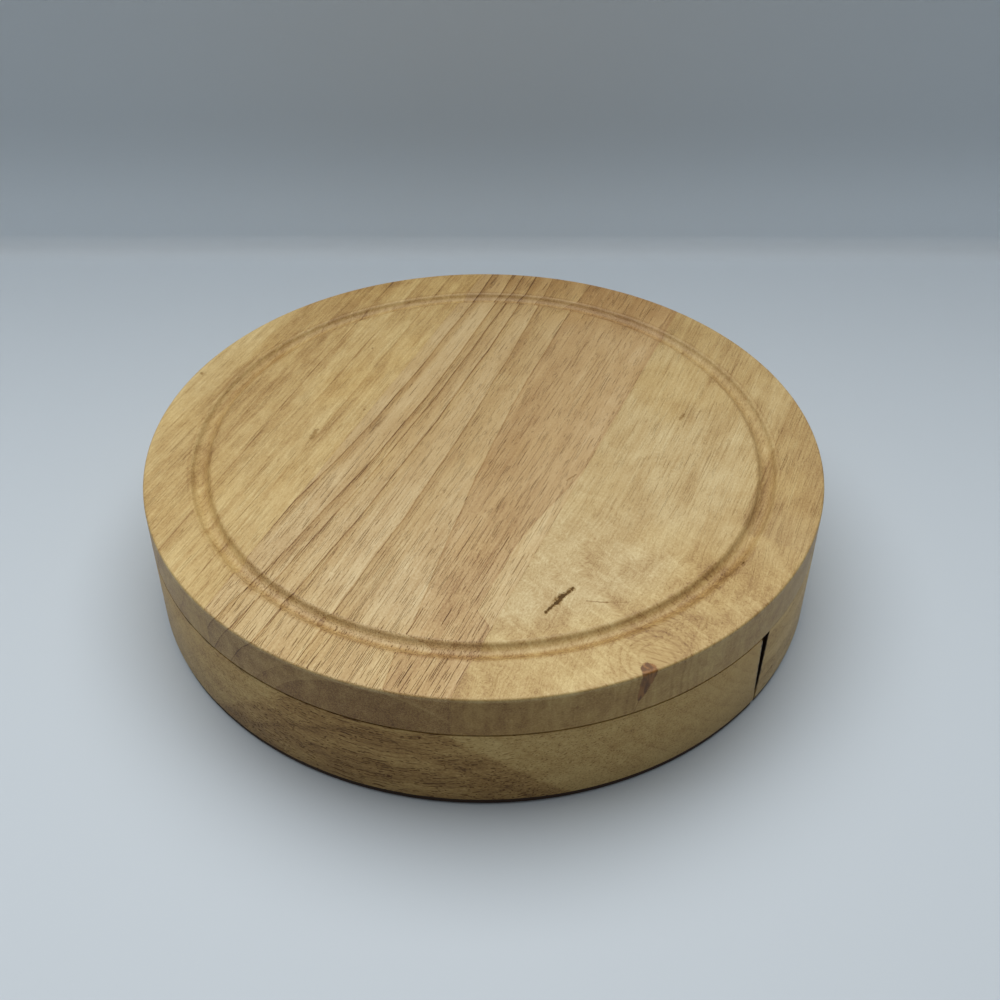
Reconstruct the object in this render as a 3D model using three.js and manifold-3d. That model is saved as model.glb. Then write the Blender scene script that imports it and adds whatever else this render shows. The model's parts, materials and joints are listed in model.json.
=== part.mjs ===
// Swivel cheese board: a round board with a juice groove, glued to a fixed part of its base. The rest of the
// base is a tray that swings out on one bolt and stores three cheese tools in wells over a hardboard floor.
// Millimetres, +Z up. The origin is the middle of the foot, +X runs along the parting line from the pivot to
// the free end of the tray, and +Y points into the fixed part of the base.
import * as THREE from "three";
import { mergeVertices } from "three/addons/utils/BufferGeometryUtils.js";
import Module from "manifold-3d";

const wasm = await Module();
wasm.setup();

// Round board and base
const boardDiameter = 190;
const topThickness = 12.5;
const topEdgeEase = 0.6;
const baseThickness = 24;
const panelThickness = 2;
const panelInset = 0.4;
const seamGap = 0.4;

// Juice groove, a shallow cove in the board's face with rounded lips, which its width takes in
const grooveRimMargin = 12.2;
const grooveWidth = 6.6;
const grooveDepth = 1.7;
const grooveLipRadius = 1.4;

// Parting line between the fixed base and the tray: straight, then round the pivot's knuckle
const partingOffset = 20;
const partingGap = 0.6;
const partingLean = 0.9;
const partingEaseWidth = 0.7;
const partingEaseHeight = 1.6;
const pivotRimDistance = 15;
const knuckleRadius = 24;

// Pivot: a socket-head bolt from below, through a bush in the tray, into an insert in the board
const boltRadius = 3;
const boltHeadRadius = 5;
const boltHeadHeight = 4;
const boltEase = 0.4;
const boltSocketRadius = 2.9;
const boltSocketDepth = 2.2;
const boltEngagement = 6;
const boltHeadRecess = 2;
const insertRadius = 4.5;
const insertLength = 6.4;
const insertFlangeRadius = 6;
const insertFlangeThickness = 1;
const insertHoleSpare = 0.3;
const bushRadius = 5;
const washerRadius = 8;
const headWasherThickness = 1;
const slipWasherThickness = 1.2;
const counterboreRadius = 9.5;

// Wells in the tray, and the trough that lets fingers reach the handles
const wellWidth = 22;
const wellCornerRadius = 6;
const wellRib = 4;
const wellPartingWall = 6;
const wellRimWall = 10;
const wellPivotWall = 17;
const troughWidth = 26;
const troughDepth = 13;
const troughFromWellEnd = 37;
const troughCornerRadius = 7;

// Cheese tools
const toolEndClearance = 4;
const handleRadius = 7.5;
const handleNeckRadius = 5.6;
const handleButtLength = 6;
const bolsterLength = 6;
const bolsterTipRadius = 4;
const bolsterEase = 0.4;
const tangRadius = 2;
const tangDepth = 26;
const bladeThickness = 1.4;
const bladeBevelDrop = 0.5;
const bladeBevelWidth = 1;
const bladeShoulderLength = 9;
const knifeBladeLength = 64;
const knifeBladeWidth = 18;
const knifePointLength = 38;
const forkLength = 62;
const forkWidth = 15;
const forkSlotLength = 38;
const forkSlotWidth = 7;
const forkPointLength = 12;
const chiselBladeLength = 50;
const chiselBladeWidth = 19;
const chiselNeckLength = 16;

// Clearances: pieces seated in each other, flat pieces that turn against each other, and tools on the floor
const seatClearance = 0.15;
const turnClearance = 0.05;
const floorClearance = 0.1;

// How far a cutting solid runs past the face that it opens
const cutOverrun = 1;

// Facets of the large round, divisions of plan arcs, routed corners and curves, and facets of turned pieces
const rimFacets = 120;
const arcDivisions = 20;
const cornerDivisions = 3;
const curveDivisions = 8;
const smallFacets = 24;
const hexFacets = 6;

// Worked out from the sizes above
const boardRadius = boardDiameter / 2;
const trayTop = panelThickness + baseThickness;
const boardFoot = trayTop + seamGap;
const boardTop = boardFoot + topThickness;
const pivotY = partingOffset - knuckleRadius;
const pivotX = -Math.sqrt((boardRadius - pivotRimDistance) ** 2 - pivotY ** 2);
const fixedPartingY = partingOffset + partingGap;
const boltHeadTop = boltHeadRecess + boltHeadHeight;
const headWasherTop = boltHeadTop + headWasherThickness;
const counterboreTop = headWasherTop + turnClearance;
const slipWasherFoot = boardFoot - turnClearance - slipWasherThickness;
const slipRecessFoot = slipWasherFoot - turnClearance;
const wells = ["knife", "fork", "chisel"].map((tool, index) => {
  const y = partingOffset - wellPartingWall - wellWidth / 2 - index * (wellWidth + wellRib);
  const cornerY = Math.abs(y) + wellWidth / 2 - wellCornerRadius;
  const cornerReach = boardRadius - wellRimWall - wellCornerRadius;
  const right = Math.sqrt(cornerReach ** 2 - cornerY ** 2) + wellCornerRadius;
  return { tool, y, left: Math.max(pivotX + wellPivotWall, -right), right };
});

const boardWood = new THREE.MeshStandardMaterial({ color: 0xc9a873, roughness: 0.6, metalness: 0 });
const baseWood = new THREE.MeshStandardMaterial({ color: 0xb0905f, roughness: 0.65, metalness: 0 });
const handleWood = new THREE.MeshStandardMaterial({ color: 0xc4a06a, roughness: 0.55, metalness: 0 });
const hardboard = new THREE.MeshStandardMaterial({ color: 0x3a2419, roughness: 0.75, metalness: 0 });
const steel = new THREE.MeshStandardMaterial({ color: 0xc2c4c6, roughness: 0.3, metalness: 1 });
const brass = new THREE.MeshStandardMaterial({ color: 0xc09a4e, roughness: 0.35, metalness: 1 });
const nylon = new THREE.MeshStandardMaterial({ color: 0xe8e6df, roughness: 0.5, metalness: 0 });

// A closed geometry as a solid that can be cut and joined, and back again
function solidOf(geometry) {
  const bare = geometry.clone();
  bare.deleteAttribute("normal");
  bare.deleteAttribute("uv");
  const merged = mergeVertices(bare);
  return new wasm.Manifold(
    new wasm.Mesh({
      numProp: 3,
      vertProperties: merged.attributes.position.array,
      triVerts: new Uint32Array(merged.index.array),
    }),
  );
}

function geometryOf(solid) {
  const { vertProperties, triVerts } = solid.getMesh();
  const geometry = new THREE.BufferGeometry();
  geometry.setAttribute("position", new THREE.BufferAttribute(vertProperties, 3));
  geometry.setIndex(new THREE.BufferAttribute(triVerts, 1));
  const faceted = geometry.toNonIndexed();
  faceted.computeVertexNormals();
  return faceted;
}

function cut(geometry, ...tools) {
  return geometryOf(tools.map(solidOf).reduce((rest, tool) => rest.subtract(tool), solidOf(geometry)));
}

function join(first, second) {
  return geometryOf(solidOf(first).add(solidOf(second)));
}

// A plan outline raised from one height to another
function raise(shape, foot, head, divisions = arcDivisions) {
  const options = { depth: head - foot, bevelEnabled: false, curveSegments: divisions };
  return new THREE.ExtrudeGeometry(shape, options).translate(0, 0, foot);
}

// A profile of [radius, height] pairs turned round an upright axis
function turn(profile, facets, x = 0, y = 0) {
  const points = profile.map(([radius, height]) => new THREE.Vector2(radius, height));
  return new THREE.LatheGeometry(points, facets).rotateX(Math.PI / 2).translate(x, y, 0);
}

// A section of [y, z] pairs drawn along the parting line, from a place on it to past the rim
function drawAlongParting(section, start) {
  const shape = new THREE.Shape(section.map(([y, z]) => new THREE.Vector2(y, z)));
  const standing = new THREE.Matrix4().makeBasis(
    new THREE.Vector3(0, 1, 0),
    new THREE.Vector3(0, 0, 1),
    new THREE.Vector3(1, 0, 0),
  );
  return raise(shape, start, boardRadius).applyMatrix4(standing);
}

function rod(radius, foot, head, facets = smallFacets) {
  return turn([[0, foot], [radius, foot], [radius, head], [0, head]], facets);
}

// A rod and a ring on the pivot's axis
function peg(radius, foot, head, facets) {
  return rod(radius, foot, head, facets).translate(pivotX, pivotY, 0);
}

function ring(inner, outer, foot, head) {
  const section = [[inner, foot], [outer, foot], [outer, head], [inner, head], [inner, foot]];
  return turn(section, smallFacets, pivotX, pivotY);
}

function named(name, geometry, material) {
  const mesh = new THREE.Mesh(geometry, material);
  mesh.name = name;
  return mesh;
}

// Where a circle round the pivot crosses a rim, on the fixed base's side: the angles at the pivot and centre
function knuckleAtRim(circleRadius, rimRadius) {
  const reach = Math.hypot(pivotX, pivotY);
  const cosine = (rimRadius ** 2 - reach ** 2 - circleRadius ** 2) / (2 * reach * circleRadius);
  const atPivot = Math.atan2(pivotY, pivotX) - Math.acos(cosine) + 2 * Math.PI;
  const x = pivotX + circleRadius * Math.cos(atPivot);
  const y = pivotY + circleRadius * Math.sin(atPivot);
  return { atPivot, atCentre: Math.atan2(y, x) };
}

// Plan of the tray: round the rim from its free end to the knuckle, and back along the parting line
function trayPlan(inset) {
  const rim = boardRadius - inset;
  const knuckle = knuckleRadius - inset;
  const meeting = knuckleAtRim(knuckle, rim);
  const plan = new THREE.Shape();
  plan.absarc(0, 0, rim, Math.asin((partingOffset - inset) / rim), meeting.atCentre - 2 * Math.PI, true);
  plan.absarc(pivotX, pivotY, knuckle, meeting.atPivot, Math.PI / 2, true);
  plan.closePath();
  return plan;
}

// Plan of the fixed base: the rest of the round, with a hollow that the knuckle turns in
function fixedPlan(inset) {
  const rim = boardRadius - inset;
  const hollow = knuckleRadius + partingGap + inset;
  const meeting = knuckleAtRim(hollow, rim);
  const plan = new THREE.Shape();
  plan.absarc(0, 0, rim, Math.asin((fixedPartingY + inset) / rim), meeting.atCentre, false);
  plan.absarc(pivotX, pivotY, hollow, meeting.atPivot, Math.PI / 2, true);
  plan.closePath();
  return plan;
}

function roundedRectangle(left, right, low, high, corner) {
  const plan = new THREE.Shape();
  plan.absarc(right - corner, high - corner, corner, Math.PI / 2, 0, true);
  plan.absarc(right - corner, low + corner, corner, 0, -Math.PI / 2, true);
  plan.absarc(left + corner, low + corner, corner, -Math.PI / 2, -Math.PI, true);
  plan.absarc(left + corner, high - corner, corner, Math.PI, Math.PI / 2, true);
  plan.closePath();
  return plan;
}

// Section of the groove from its outer lip to its inner one: each lip is an arc that runs into the cove
function grooveSection() {
  const half = grooveWidth / 2;
  const middle = boardRadius - grooveRimMargin - half;
  const slope = 2 * Math.atan(grooveDepth / half);
  const coveRadius = half / Math.sin(slope) - grooveLipRadius;
  const coveZ = boardTop - grooveDepth + coveRadius;
  const lipZ = boardTop - grooveLipRadius;
  const quarterTurn = Math.PI / 2;
  const bend = (x, z, radius, from, to) => {
    const curve = new THREE.EllipseCurve(x, z, radius, radius, from, to, to < from);
    return curve.getPoints(cornerDivisions * 2).map((point) => [point.x, point.y]);
  };
  return [
    ...bend(middle + half, lipZ, grooveLipRadius, quarterTurn, quarterTurn + slope),
    ...bend(middle, coveZ, coveRadius, slope - quarterTurn, -slope - quarterTurn).slice(1),
    ...bend(middle - half, lipZ, grooveLipRadius, quarterTurn - slope, quarterTurn).slice(1),
  ];
}

// Round board, with the groove turned in its face and a blind hole for the pivot's insert
function topBoard() {
  const disc = turn(
    [
      [0, boardFoot],
      [boardRadius, boardFoot],
      [boardRadius, boardTop - topEdgeEase],
      [boardRadius - topEdgeEase, boardTop],
      ...grooveSection(),
      [0, boardTop],
    ],
    rimFacets,
  );
  const open = boardFoot - cutOverrun;
  const hole = peg(insertRadius + seatClearance, open, boardFoot + insertLength + insertHoleSpare);
  const flangeSeat = peg(insertFlangeRadius + seatClearance, open, boardFoot + insertFlangeThickness);
  return named("top_board", cut(disc, hole, flangeSeat), boardWood);
}

// What the saw takes off a parting face: it leans back a little, so the gap narrows downwards, and its top
// edge is eased. Side is +1 for the fixed base and -1 for the tray
function partingCut(edge, side, head, start) {
  const leanTop = edge + side * partingLean;
  const easeTop = leanTop + side * partingEaseWidth;
  const outside = edge - side * cutOverrun;
  const section = [
    [edge, panelThickness],
    [leanTop, head - partingEaseHeight],
    [easeTop, head],
    [easeTop, head + cutOverrun],
    [outside, head + cutOverrun],
    [outside, panelThickness],
  ];
  return drawAlongParting(section, start);
}

// Fixed part of the base, glued under the board
function fixedBase() {
  const block = raise(fixedPlan(0), panelThickness, boardFoot);
  return named("fixed_base", cut(block, partingCut(fixedPartingY, 1, boardFoot, pivotX)), baseWood);
}

// Tray: the swinging part of the base, with wells right through it and a round-cornered trough that is
// cut across the ribs between them
function trayBody() {
  const foot = panelThickness - cutOverrun;
  const head = trayTop + cutOverrun;
  const halfWell = wellWidth / 2;
  const wellCuts = wells.map(({ y, left, right }) => {
    const plan = roundedRectangle(left, right, y - halfWell, y + halfWell, wellCornerRadius);
    return raise(plan, foot, head, cornerDivisions);
  });
  const firstWell = wells.at(0);
  const lastWell = wells.at(-1);
  const troughX = lastWell.right - troughFromWellEnd;
  const troughSection = roundedRectangle(
    troughX - troughWidth / 2,
    troughX + troughWidth / 2,
    trayTop - troughDepth,
    trayTop + troughDepth,
    troughCornerRadius,
  );
  const trough = raise(troughSection, -firstWell.y, -lastWell.y, cornerDivisions).rotateX(Math.PI / 2);
  const body = cut(
    raise(trayPlan(0), panelThickness, trayTop),
    ...wellCuts,
    partingCut(partingOffset, -1, trayTop, pivotX - knuckleRadius),
    trough,
    peg(bushRadius + seatClearance, foot, head),
    peg(counterboreRadius, foot, counterboreTop),
    peg(washerRadius + seatClearance, slipRecessFoot, head),
  );
  return named("tray_body", body, baseWood);
}

// Hardboard floors under the tray and under the fixed base
function trayPanel() {
  const headHole = peg(counterboreRadius, -cutOverrun, panelThickness + cutOverrun);
  return named("tray_panel", cut(raise(trayPlan(panelInset), 0, panelThickness), headHole), hardboard);
}

function fixedBasePanel() {
  return named("fixed_base_panel", raise(fixedPlan(panelInset), 0, panelThickness), hardboard);
}

// Socket-head bolt, head down, screwed into the insert
function pivotBolt() {
  const tip = boardFoot + boltEngagement;
  const body = turn(
    [
      [0, boltHeadRecess],
      [boltHeadRadius - boltEase, boltHeadRecess],
      [boltHeadRadius, boltHeadRecess + boltEase],
      [boltHeadRadius, boltHeadTop],
      [boltRadius, boltHeadTop],
      [boltRadius, tip - boltEase],
      [boltRadius - boltEase, tip],
      [0, tip],
    ],
    smallFacets,
    pivotX,
    pivotY,
  );
  const socketFoot = boltHeadRecess - cutOverrun;
  const socket = peg(boltSocketRadius, socketFoot, boltHeadRecess + boltSocketDepth, hexFacets);
  return named("pivot_bolt", cut(body, socket), steel);
}

// Threaded insert, flange down, in the board's blind hole
function pivotInsert() {
  const bore = boltRadius + seatClearance;
  const flangeTop = boardFoot + insertFlangeThickness;
  const section = [
    [bore, boardFoot],
    [insertFlangeRadius, boardFoot],
    [insertFlangeRadius, flangeTop],
    [insertRadius, flangeTop],
    [insertRadius, boardFoot + insertLength],
    [bore, boardFoot + insertLength],
    [bore, boardFoot],
  ];
  return named("pivot_insert", turn(section, smallFacets, pivotX, pivotY), brass);
}

// Bush that the tray turns on, a washer on the bolt's head, and a slip washer between tray and board
function pivotBush() {
  const sleeve = ring(boltRadius + seatClearance, bushRadius, counterboreTop, slipRecessFoot);
  return named("pivot_bush", sleeve, brass);
}

function headWasher() {
  const washer = ring(boltRadius + seatClearance, washerRadius, boltHeadTop, headWasherTop);
  return named("head_washer", washer, steel);
}

function slipWasher() {
  const slipWasherHead = slipWasherFoot + slipWasherThickness;
  const washer = ring(boltRadius + seatClearance, washerRadius, slipWasherFoot, slipWasherHead);
  return named("slip_washer", washer, nylon);
}

// Each tool lies along X in its own frame: the handle starts at the origin and runs towards +X, and the
// bolster and the flat blade run towards -X
function layAlongX(geometry) {
  return geometry.rotateY(Math.PI / 2);
}

// Turned handle, fullest near its rounded butt, bored for the tang
function toolHandle(tool, length) {
  const swellEnd = length - handleButtLength;
  const swell = new THREE.CubicBezierCurve(
    new THREE.Vector2(handleNeckRadius, 0),
    new THREE.Vector2(handleNeckRadius, swellEnd / 2),
    new THREE.Vector2(handleRadius, swellEnd / 2),
    new THREE.Vector2(handleRadius, swellEnd),
  );
  const butt = new THREE.EllipseCurve(0, swellEnd, handleRadius, handleButtLength, 0, Math.PI / 2);
  const turned = [...swell.getPoints(curveDivisions), ...butt.getPoints(curveDivisions).slice(1, -1)];
  const profile = [[0, 0], ...turned.map(({ x, y }) => [x, y]), [0, length]];
  const bore = rod(tangRadius + seatClearance, -cutOverrun, tangDepth + seatClearance);
  return named(`${tool}_handle`, layAlongX(cut(turn(profile, smallFacets), bore)), handleWood);
}

// Steel bolster on the tang, against the handle's end
function toolBolster(tool) {
  const bore = tangRadius + seatClearance;
  const front = -bolsterLength;
  const section = [
    [bore, front],
    [bolsterTipRadius, front],
    [handleNeckRadius, front / 2],
    [handleNeckRadius, -seatClearance - bolsterEase],
    [handleNeckRadius - bolsterEase, -seatClearance],
    [bore, -seatClearance],
    [bore, front],
  ];
  return named(`${tool}_bolster`, layAlongX(turn(section, smallFacets)), steel);
}

// Blade and tang in one piece of steel. The outline is ground thin all round, in the tool's middle plane
function toolBlade(tool, outline) {
  const shoulder = -bolsterLength - seatClearance;
  const tang = rod(tangRadius, shoulder - bladeShoulderLength / 2, tangDepth);
  const plate = new THREE.ExtrudeGeometry(outline, {
    depth: bladeThickness - 2 * bladeBevelDrop,
    bevelThickness: bladeBevelDrop,
    bevelSize: bladeBevelWidth,
    bevelOffset: -bladeBevelWidth,
    bevelSegments: 1,
  }).translate(shoulder, 0, bladeBevelDrop - bladeThickness / 2);
  return named(`${tool}_blade`, join(layAlongX(tang), plate), steel);
}

// The whole outline of a blade from its upper half, which runs from the bolster to the middle line
function bothHalves(upper) {
  const above = upper.getPoints(curveDivisions);
  const below = above.slice(0, -1).reverse().map(({ x, y }) => new THREE.Vector2(x, -y));
  return new THREE.Shape([...above, ...below]);
}

// A blade's shoulder, widening from the bolster to half the blade's width
function shoulderPath(half, length) {
  const path = new THREE.Path();
  path.moveTo(0, bolsterTipRadius);
  path.bezierCurveTo(-length / 2, bolsterTipRadius, -length / 2, half, -length, half);
  return path;
}

// Hard-cheese knife, broad and drawn to a point
function knifeOutline() {
  const half = knifeBladeWidth / 2;
  const path = shoulderPath(half, bladeShoulderLength);
  path.lineTo(knifePointLength - knifeBladeLength, half);
  path.bezierCurveTo(
    knifePointLength / 2 - knifeBladeLength,
    half,
    knifePointLength / 4 - knifeBladeLength,
    half / 2,
    -knifeBladeLength,
    0,
  );
  return bothHalves(path);
}

// Two-pronged fork with a round-rooted slot
function forkOutline() {
  const half = forkWidth / 2;
  const slotHalf = forkSlotWidth / 2;
  const slotRoot = forkSlotLength - forkLength;
  const path = shoulderPath(half, bladeShoulderLength);
  path.lineTo(forkPointLength - forkLength, half);
  path.lineTo(-forkLength, (half + slotHalf) / 2);
  path.lineTo(forkPointLength - forkLength, slotHalf);
  path.lineTo(slotRoot - slotHalf, slotHalf);
  path.absarc(slotRoot - slotHalf, 0, slotHalf, Math.PI / 2, 0, true);
  return bothHalves(path);
}

// Chisel knife, flaring from a narrow neck to a straight front edge
function chiselOutline() {
  const half = chiselBladeWidth / 2;
  const path = new THREE.Path();
  path.moveTo(0, bolsterTipRadius);
  path.lineTo(-chiselNeckLength, bolsterTipRadius);
  path.bezierCurveTo(
    -(chiselNeckLength + chiselBladeLength) / 2,
    bolsterTipRadius,
    -(chiselNeckLength + chiselBladeLength) / 2,
    half,
    -chiselBladeLength,
    half,
  );
  path.lineTo(-chiselBladeLength, 0);
  return bothHalves(path);
}

// A tool in its well: the handle takes the length that the blade and the bolster leave
function cheeseTool({ tool, y, left, right }) {
  const blades = {
    knife: [knifeBladeLength, knifeOutline],
    fork: [forkLength, forkOutline],
    chisel: [chiselBladeLength, chiselOutline],
  };
  const [bladeLength, outline] = blades[tool];
  const toolLength = right - left - 2 * toolEndClearance;
  const handleLength = toolLength - bladeLength - bolsterLength - seatClearance;
  const whole = new THREE.Group();
  whole.add(toolHandle(tool, handleLength), toolBolster(tool), toolBlade(tool, outline()));
  whole.position.set(
    right - toolEndClearance - handleLength,
    y,
    panelThickness + floorClearance + handleRadius,
  );
  return whole;
}

const cheeseBoard = new THREE.Group();
cheeseBoard.add(topBoard(), fixedBase(), fixedBasePanel(), pivotInsert(), pivotBolt(), headWasher());
cheeseBoard.add(trayBody(), trayPanel(), pivotBush(), slipWasher(), ...wells.map(cheeseTool));

export default cheeseBoard;
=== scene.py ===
"""Looks of the swivel cheese board: oiled wood, hardboard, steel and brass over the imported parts.

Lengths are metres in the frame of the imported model. The wood's grain is worked out in millimetres, because
its rings, pores and flaws are read and set at that scale.
"""

import json
import logging
import math
from abc import ABC, abstractmethod
from collections.abc import Callable, Iterator
from contextlib import contextmanager
from dataclasses import dataclass, field, replace
from enum import Enum
from functools import cached_property

import bmesh
import bpy
from mathutils import Matrix, Vector


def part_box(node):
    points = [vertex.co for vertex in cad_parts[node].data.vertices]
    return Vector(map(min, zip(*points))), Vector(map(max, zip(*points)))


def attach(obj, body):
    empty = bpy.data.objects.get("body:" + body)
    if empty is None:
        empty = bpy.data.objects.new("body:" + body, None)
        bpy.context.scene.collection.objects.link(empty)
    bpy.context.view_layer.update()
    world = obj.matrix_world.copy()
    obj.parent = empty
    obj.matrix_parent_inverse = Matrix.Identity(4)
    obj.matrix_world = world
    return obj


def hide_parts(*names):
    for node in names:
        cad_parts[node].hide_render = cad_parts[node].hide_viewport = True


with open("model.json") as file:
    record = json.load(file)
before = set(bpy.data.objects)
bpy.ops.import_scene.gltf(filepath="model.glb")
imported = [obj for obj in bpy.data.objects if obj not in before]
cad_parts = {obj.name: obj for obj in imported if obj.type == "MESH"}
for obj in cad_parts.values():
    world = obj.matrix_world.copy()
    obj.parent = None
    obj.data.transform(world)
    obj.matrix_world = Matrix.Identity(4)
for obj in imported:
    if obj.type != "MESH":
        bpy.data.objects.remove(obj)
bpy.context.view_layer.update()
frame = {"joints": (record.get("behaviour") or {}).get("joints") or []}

LOG = logging.getLogger("cheese_board")
MM = 0.001
QUARTER_TURN = math.pi / 2
FULL_TURN = 2 * math.pi
OVERCUT = 1 * MM
TOUCHING = 0.01 * MM
FLAT_ANGLE = math.radians(0.05)
SHARP_ANGLE = math.radians(30.0)
EASE_SEGMENTS = 2
Point = tuple[float, float]
Colour = tuple[float, float, float, float]


class Body(Enum):
    """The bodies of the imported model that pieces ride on."""

    BOARD = "board"
    TRAY = "tray"
    KNIFE = "knife"
    FORK = "fork"
    CHISEL = "chisel"


class Slot(Enum):
    """The record's material slots."""

    BOARD_WOOD = "board_wood"
    BASE_WOOD = "base_wood"
    HANDLE_WOOD = "handle_wood"
    HARDBOARD = "hardboard"
    STEEL = "steel"
    BRASS = "brass"
    NYLON = "nylon"


class Side(Enum):
    """The two parts of the base, by the side of the parting line that they are on."""

    FIXED = 1
    TRAY = -1


def tint(red: int, green: int, blue: int) -> Colour:
    """Turns a display colour into the linear colour that a socket takes.

    Args:
        red: Red, 0 to 255.
        green: Green, 0 to 255.
        blue: Blue, 0 to 255.

    Returns:
        The linear colour with full alpha.
    """
    shares = [channel / 255 for channel in (red, green, blue)]
    linear = [s / 12.92 if s <= 0.04045 else ((s + 0.055) / 1.055) ** 2.4 for s in shares]
    return (linear[0], linear[1], linear[2], 1.0)


class Sheet:
    """A node tree that is filled by code, for a material or for a mesh."""

    def __init__(self, tree: bpy.types.NodeTree) -> None:
        """Keeps the tree to fill."""
        self.tree = tree

    def feed(self, socket: bpy.types.NodeSocket, value: object) -> None:
        """Links a value or a socket into a socket, or sets a plain number, colour or vector on it.

        Args:
            socket: The input to fill.
            value: A Value, another socket, or what the input holds as its default.
        """
        source = value.socket if isinstance(value, Value) else value
        if isinstance(source, bpy.types.NodeSocket):
            self.tree.links.new(source, socket)
        else:
            socket.default_value = source

    def add(
        self,
        kind: str,
        settings: dict[str, object] | None = None,
        inputs: dict[str | int, object] | None = None,
    ) -> bpy.types.Node:
        """Adds one node.

        Args:
            kind: The node's type name.
            settings: Properties that are set first. The stops of a ramp are pairs of place and colour.
            inputs: Values or links for its sockets, by name or by number.

        Returns:
            The new node.
        """
        node = self.tree.nodes.new(kind)
        for name, setting in (settings or {}).items():
            if name == "stops":
                self._set_stops(node.color_ramp.elements, setting)
            else:
                setattr(node, name, setting)
        for key, value in (inputs or {}).items():
            self.feed(node.inputs[key], value)
        return node

    @staticmethod
    def _set_stops(elements: bpy.types.ColorRampElements, stops: list[tuple[float, tuple]]) -> None:
        """Gives a ramp these stops, in place of its own two.

        Args:
            elements: The ramp's stops.
            stops: Pairs of place and colour, in rising order.
        """
        while len(elements) > 1:
            elements.remove(elements[-1])
        elements[0].position, elements[0].color = stops[0]
        for place, colour in stops[1:]:
            elements.new(place).color = colour

    def value(self, node: bpy.types.Node, output: str | int = 0) -> "Value":
        """Wraps a node's output for sums."""
        return Value(self, node.outputs[output])

    def noise(
        self, x: "Operand", y: "Operand", z: "Operand", detail: float = 2.0, twist: float = 0.0
    ) -> "Value":
        """Adds a cloudy noise, about 0.5 on average, at a place made of three values.

        Args:
            x: First coordinate, in cells of the noise.
            y: Second coordinate.
            z: Third coordinate.
            detail: How many finer layers it has.
            twist: How far it is bent by itself.

        Returns:
            The noise.
        """
        place = self.add("ShaderNodeCombineXYZ", inputs={0: x, 1: y, 2: z})
        sockets = {"Vector": place.outputs[0], "Scale": 1.0, "Detail": detail, "Distortion": twist}
        return self.value(self.add("ShaderNodeTexNoise", inputs=sockets))

    def spots(self, x: "Operand", y: "Operand") -> "Value":
        """Adds the distance to the nearest of scattered points of a plane.

        Args:
            x: First coordinate, in cells.
            y: Second coordinate.

        Returns:
            The distance in cells.
        """
        place = self.add("ShaderNodeCombineXYZ", inputs={0: x, 1: y})
        sockets = {"Vector": place.outputs[0], "Scale": 1.0}
        return self.value(self.add("ShaderNodeTexVoronoi", {"voronoi_dimensions": "2D"}, sockets), "Distance")

    def mix(
        self, share: "Operand", first: object, second: object, blend: str = "MIX"
    ) -> bpy.types.NodeSocket:
        """Mixes two colours.

        Args:
            share: How much of the second shows.
            first: A colour or a colour socket.
            second: A colour or a colour socket.
            blend: The Mix node's way of blending.

        Returns:
            The mixed colour.
        """
        settings = {"data_type": "RGBA", "blend_type": blend}
        return self.add("ShaderNodeMix", settings, {0: share, 6: first, 7: second}).outputs[2]


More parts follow.
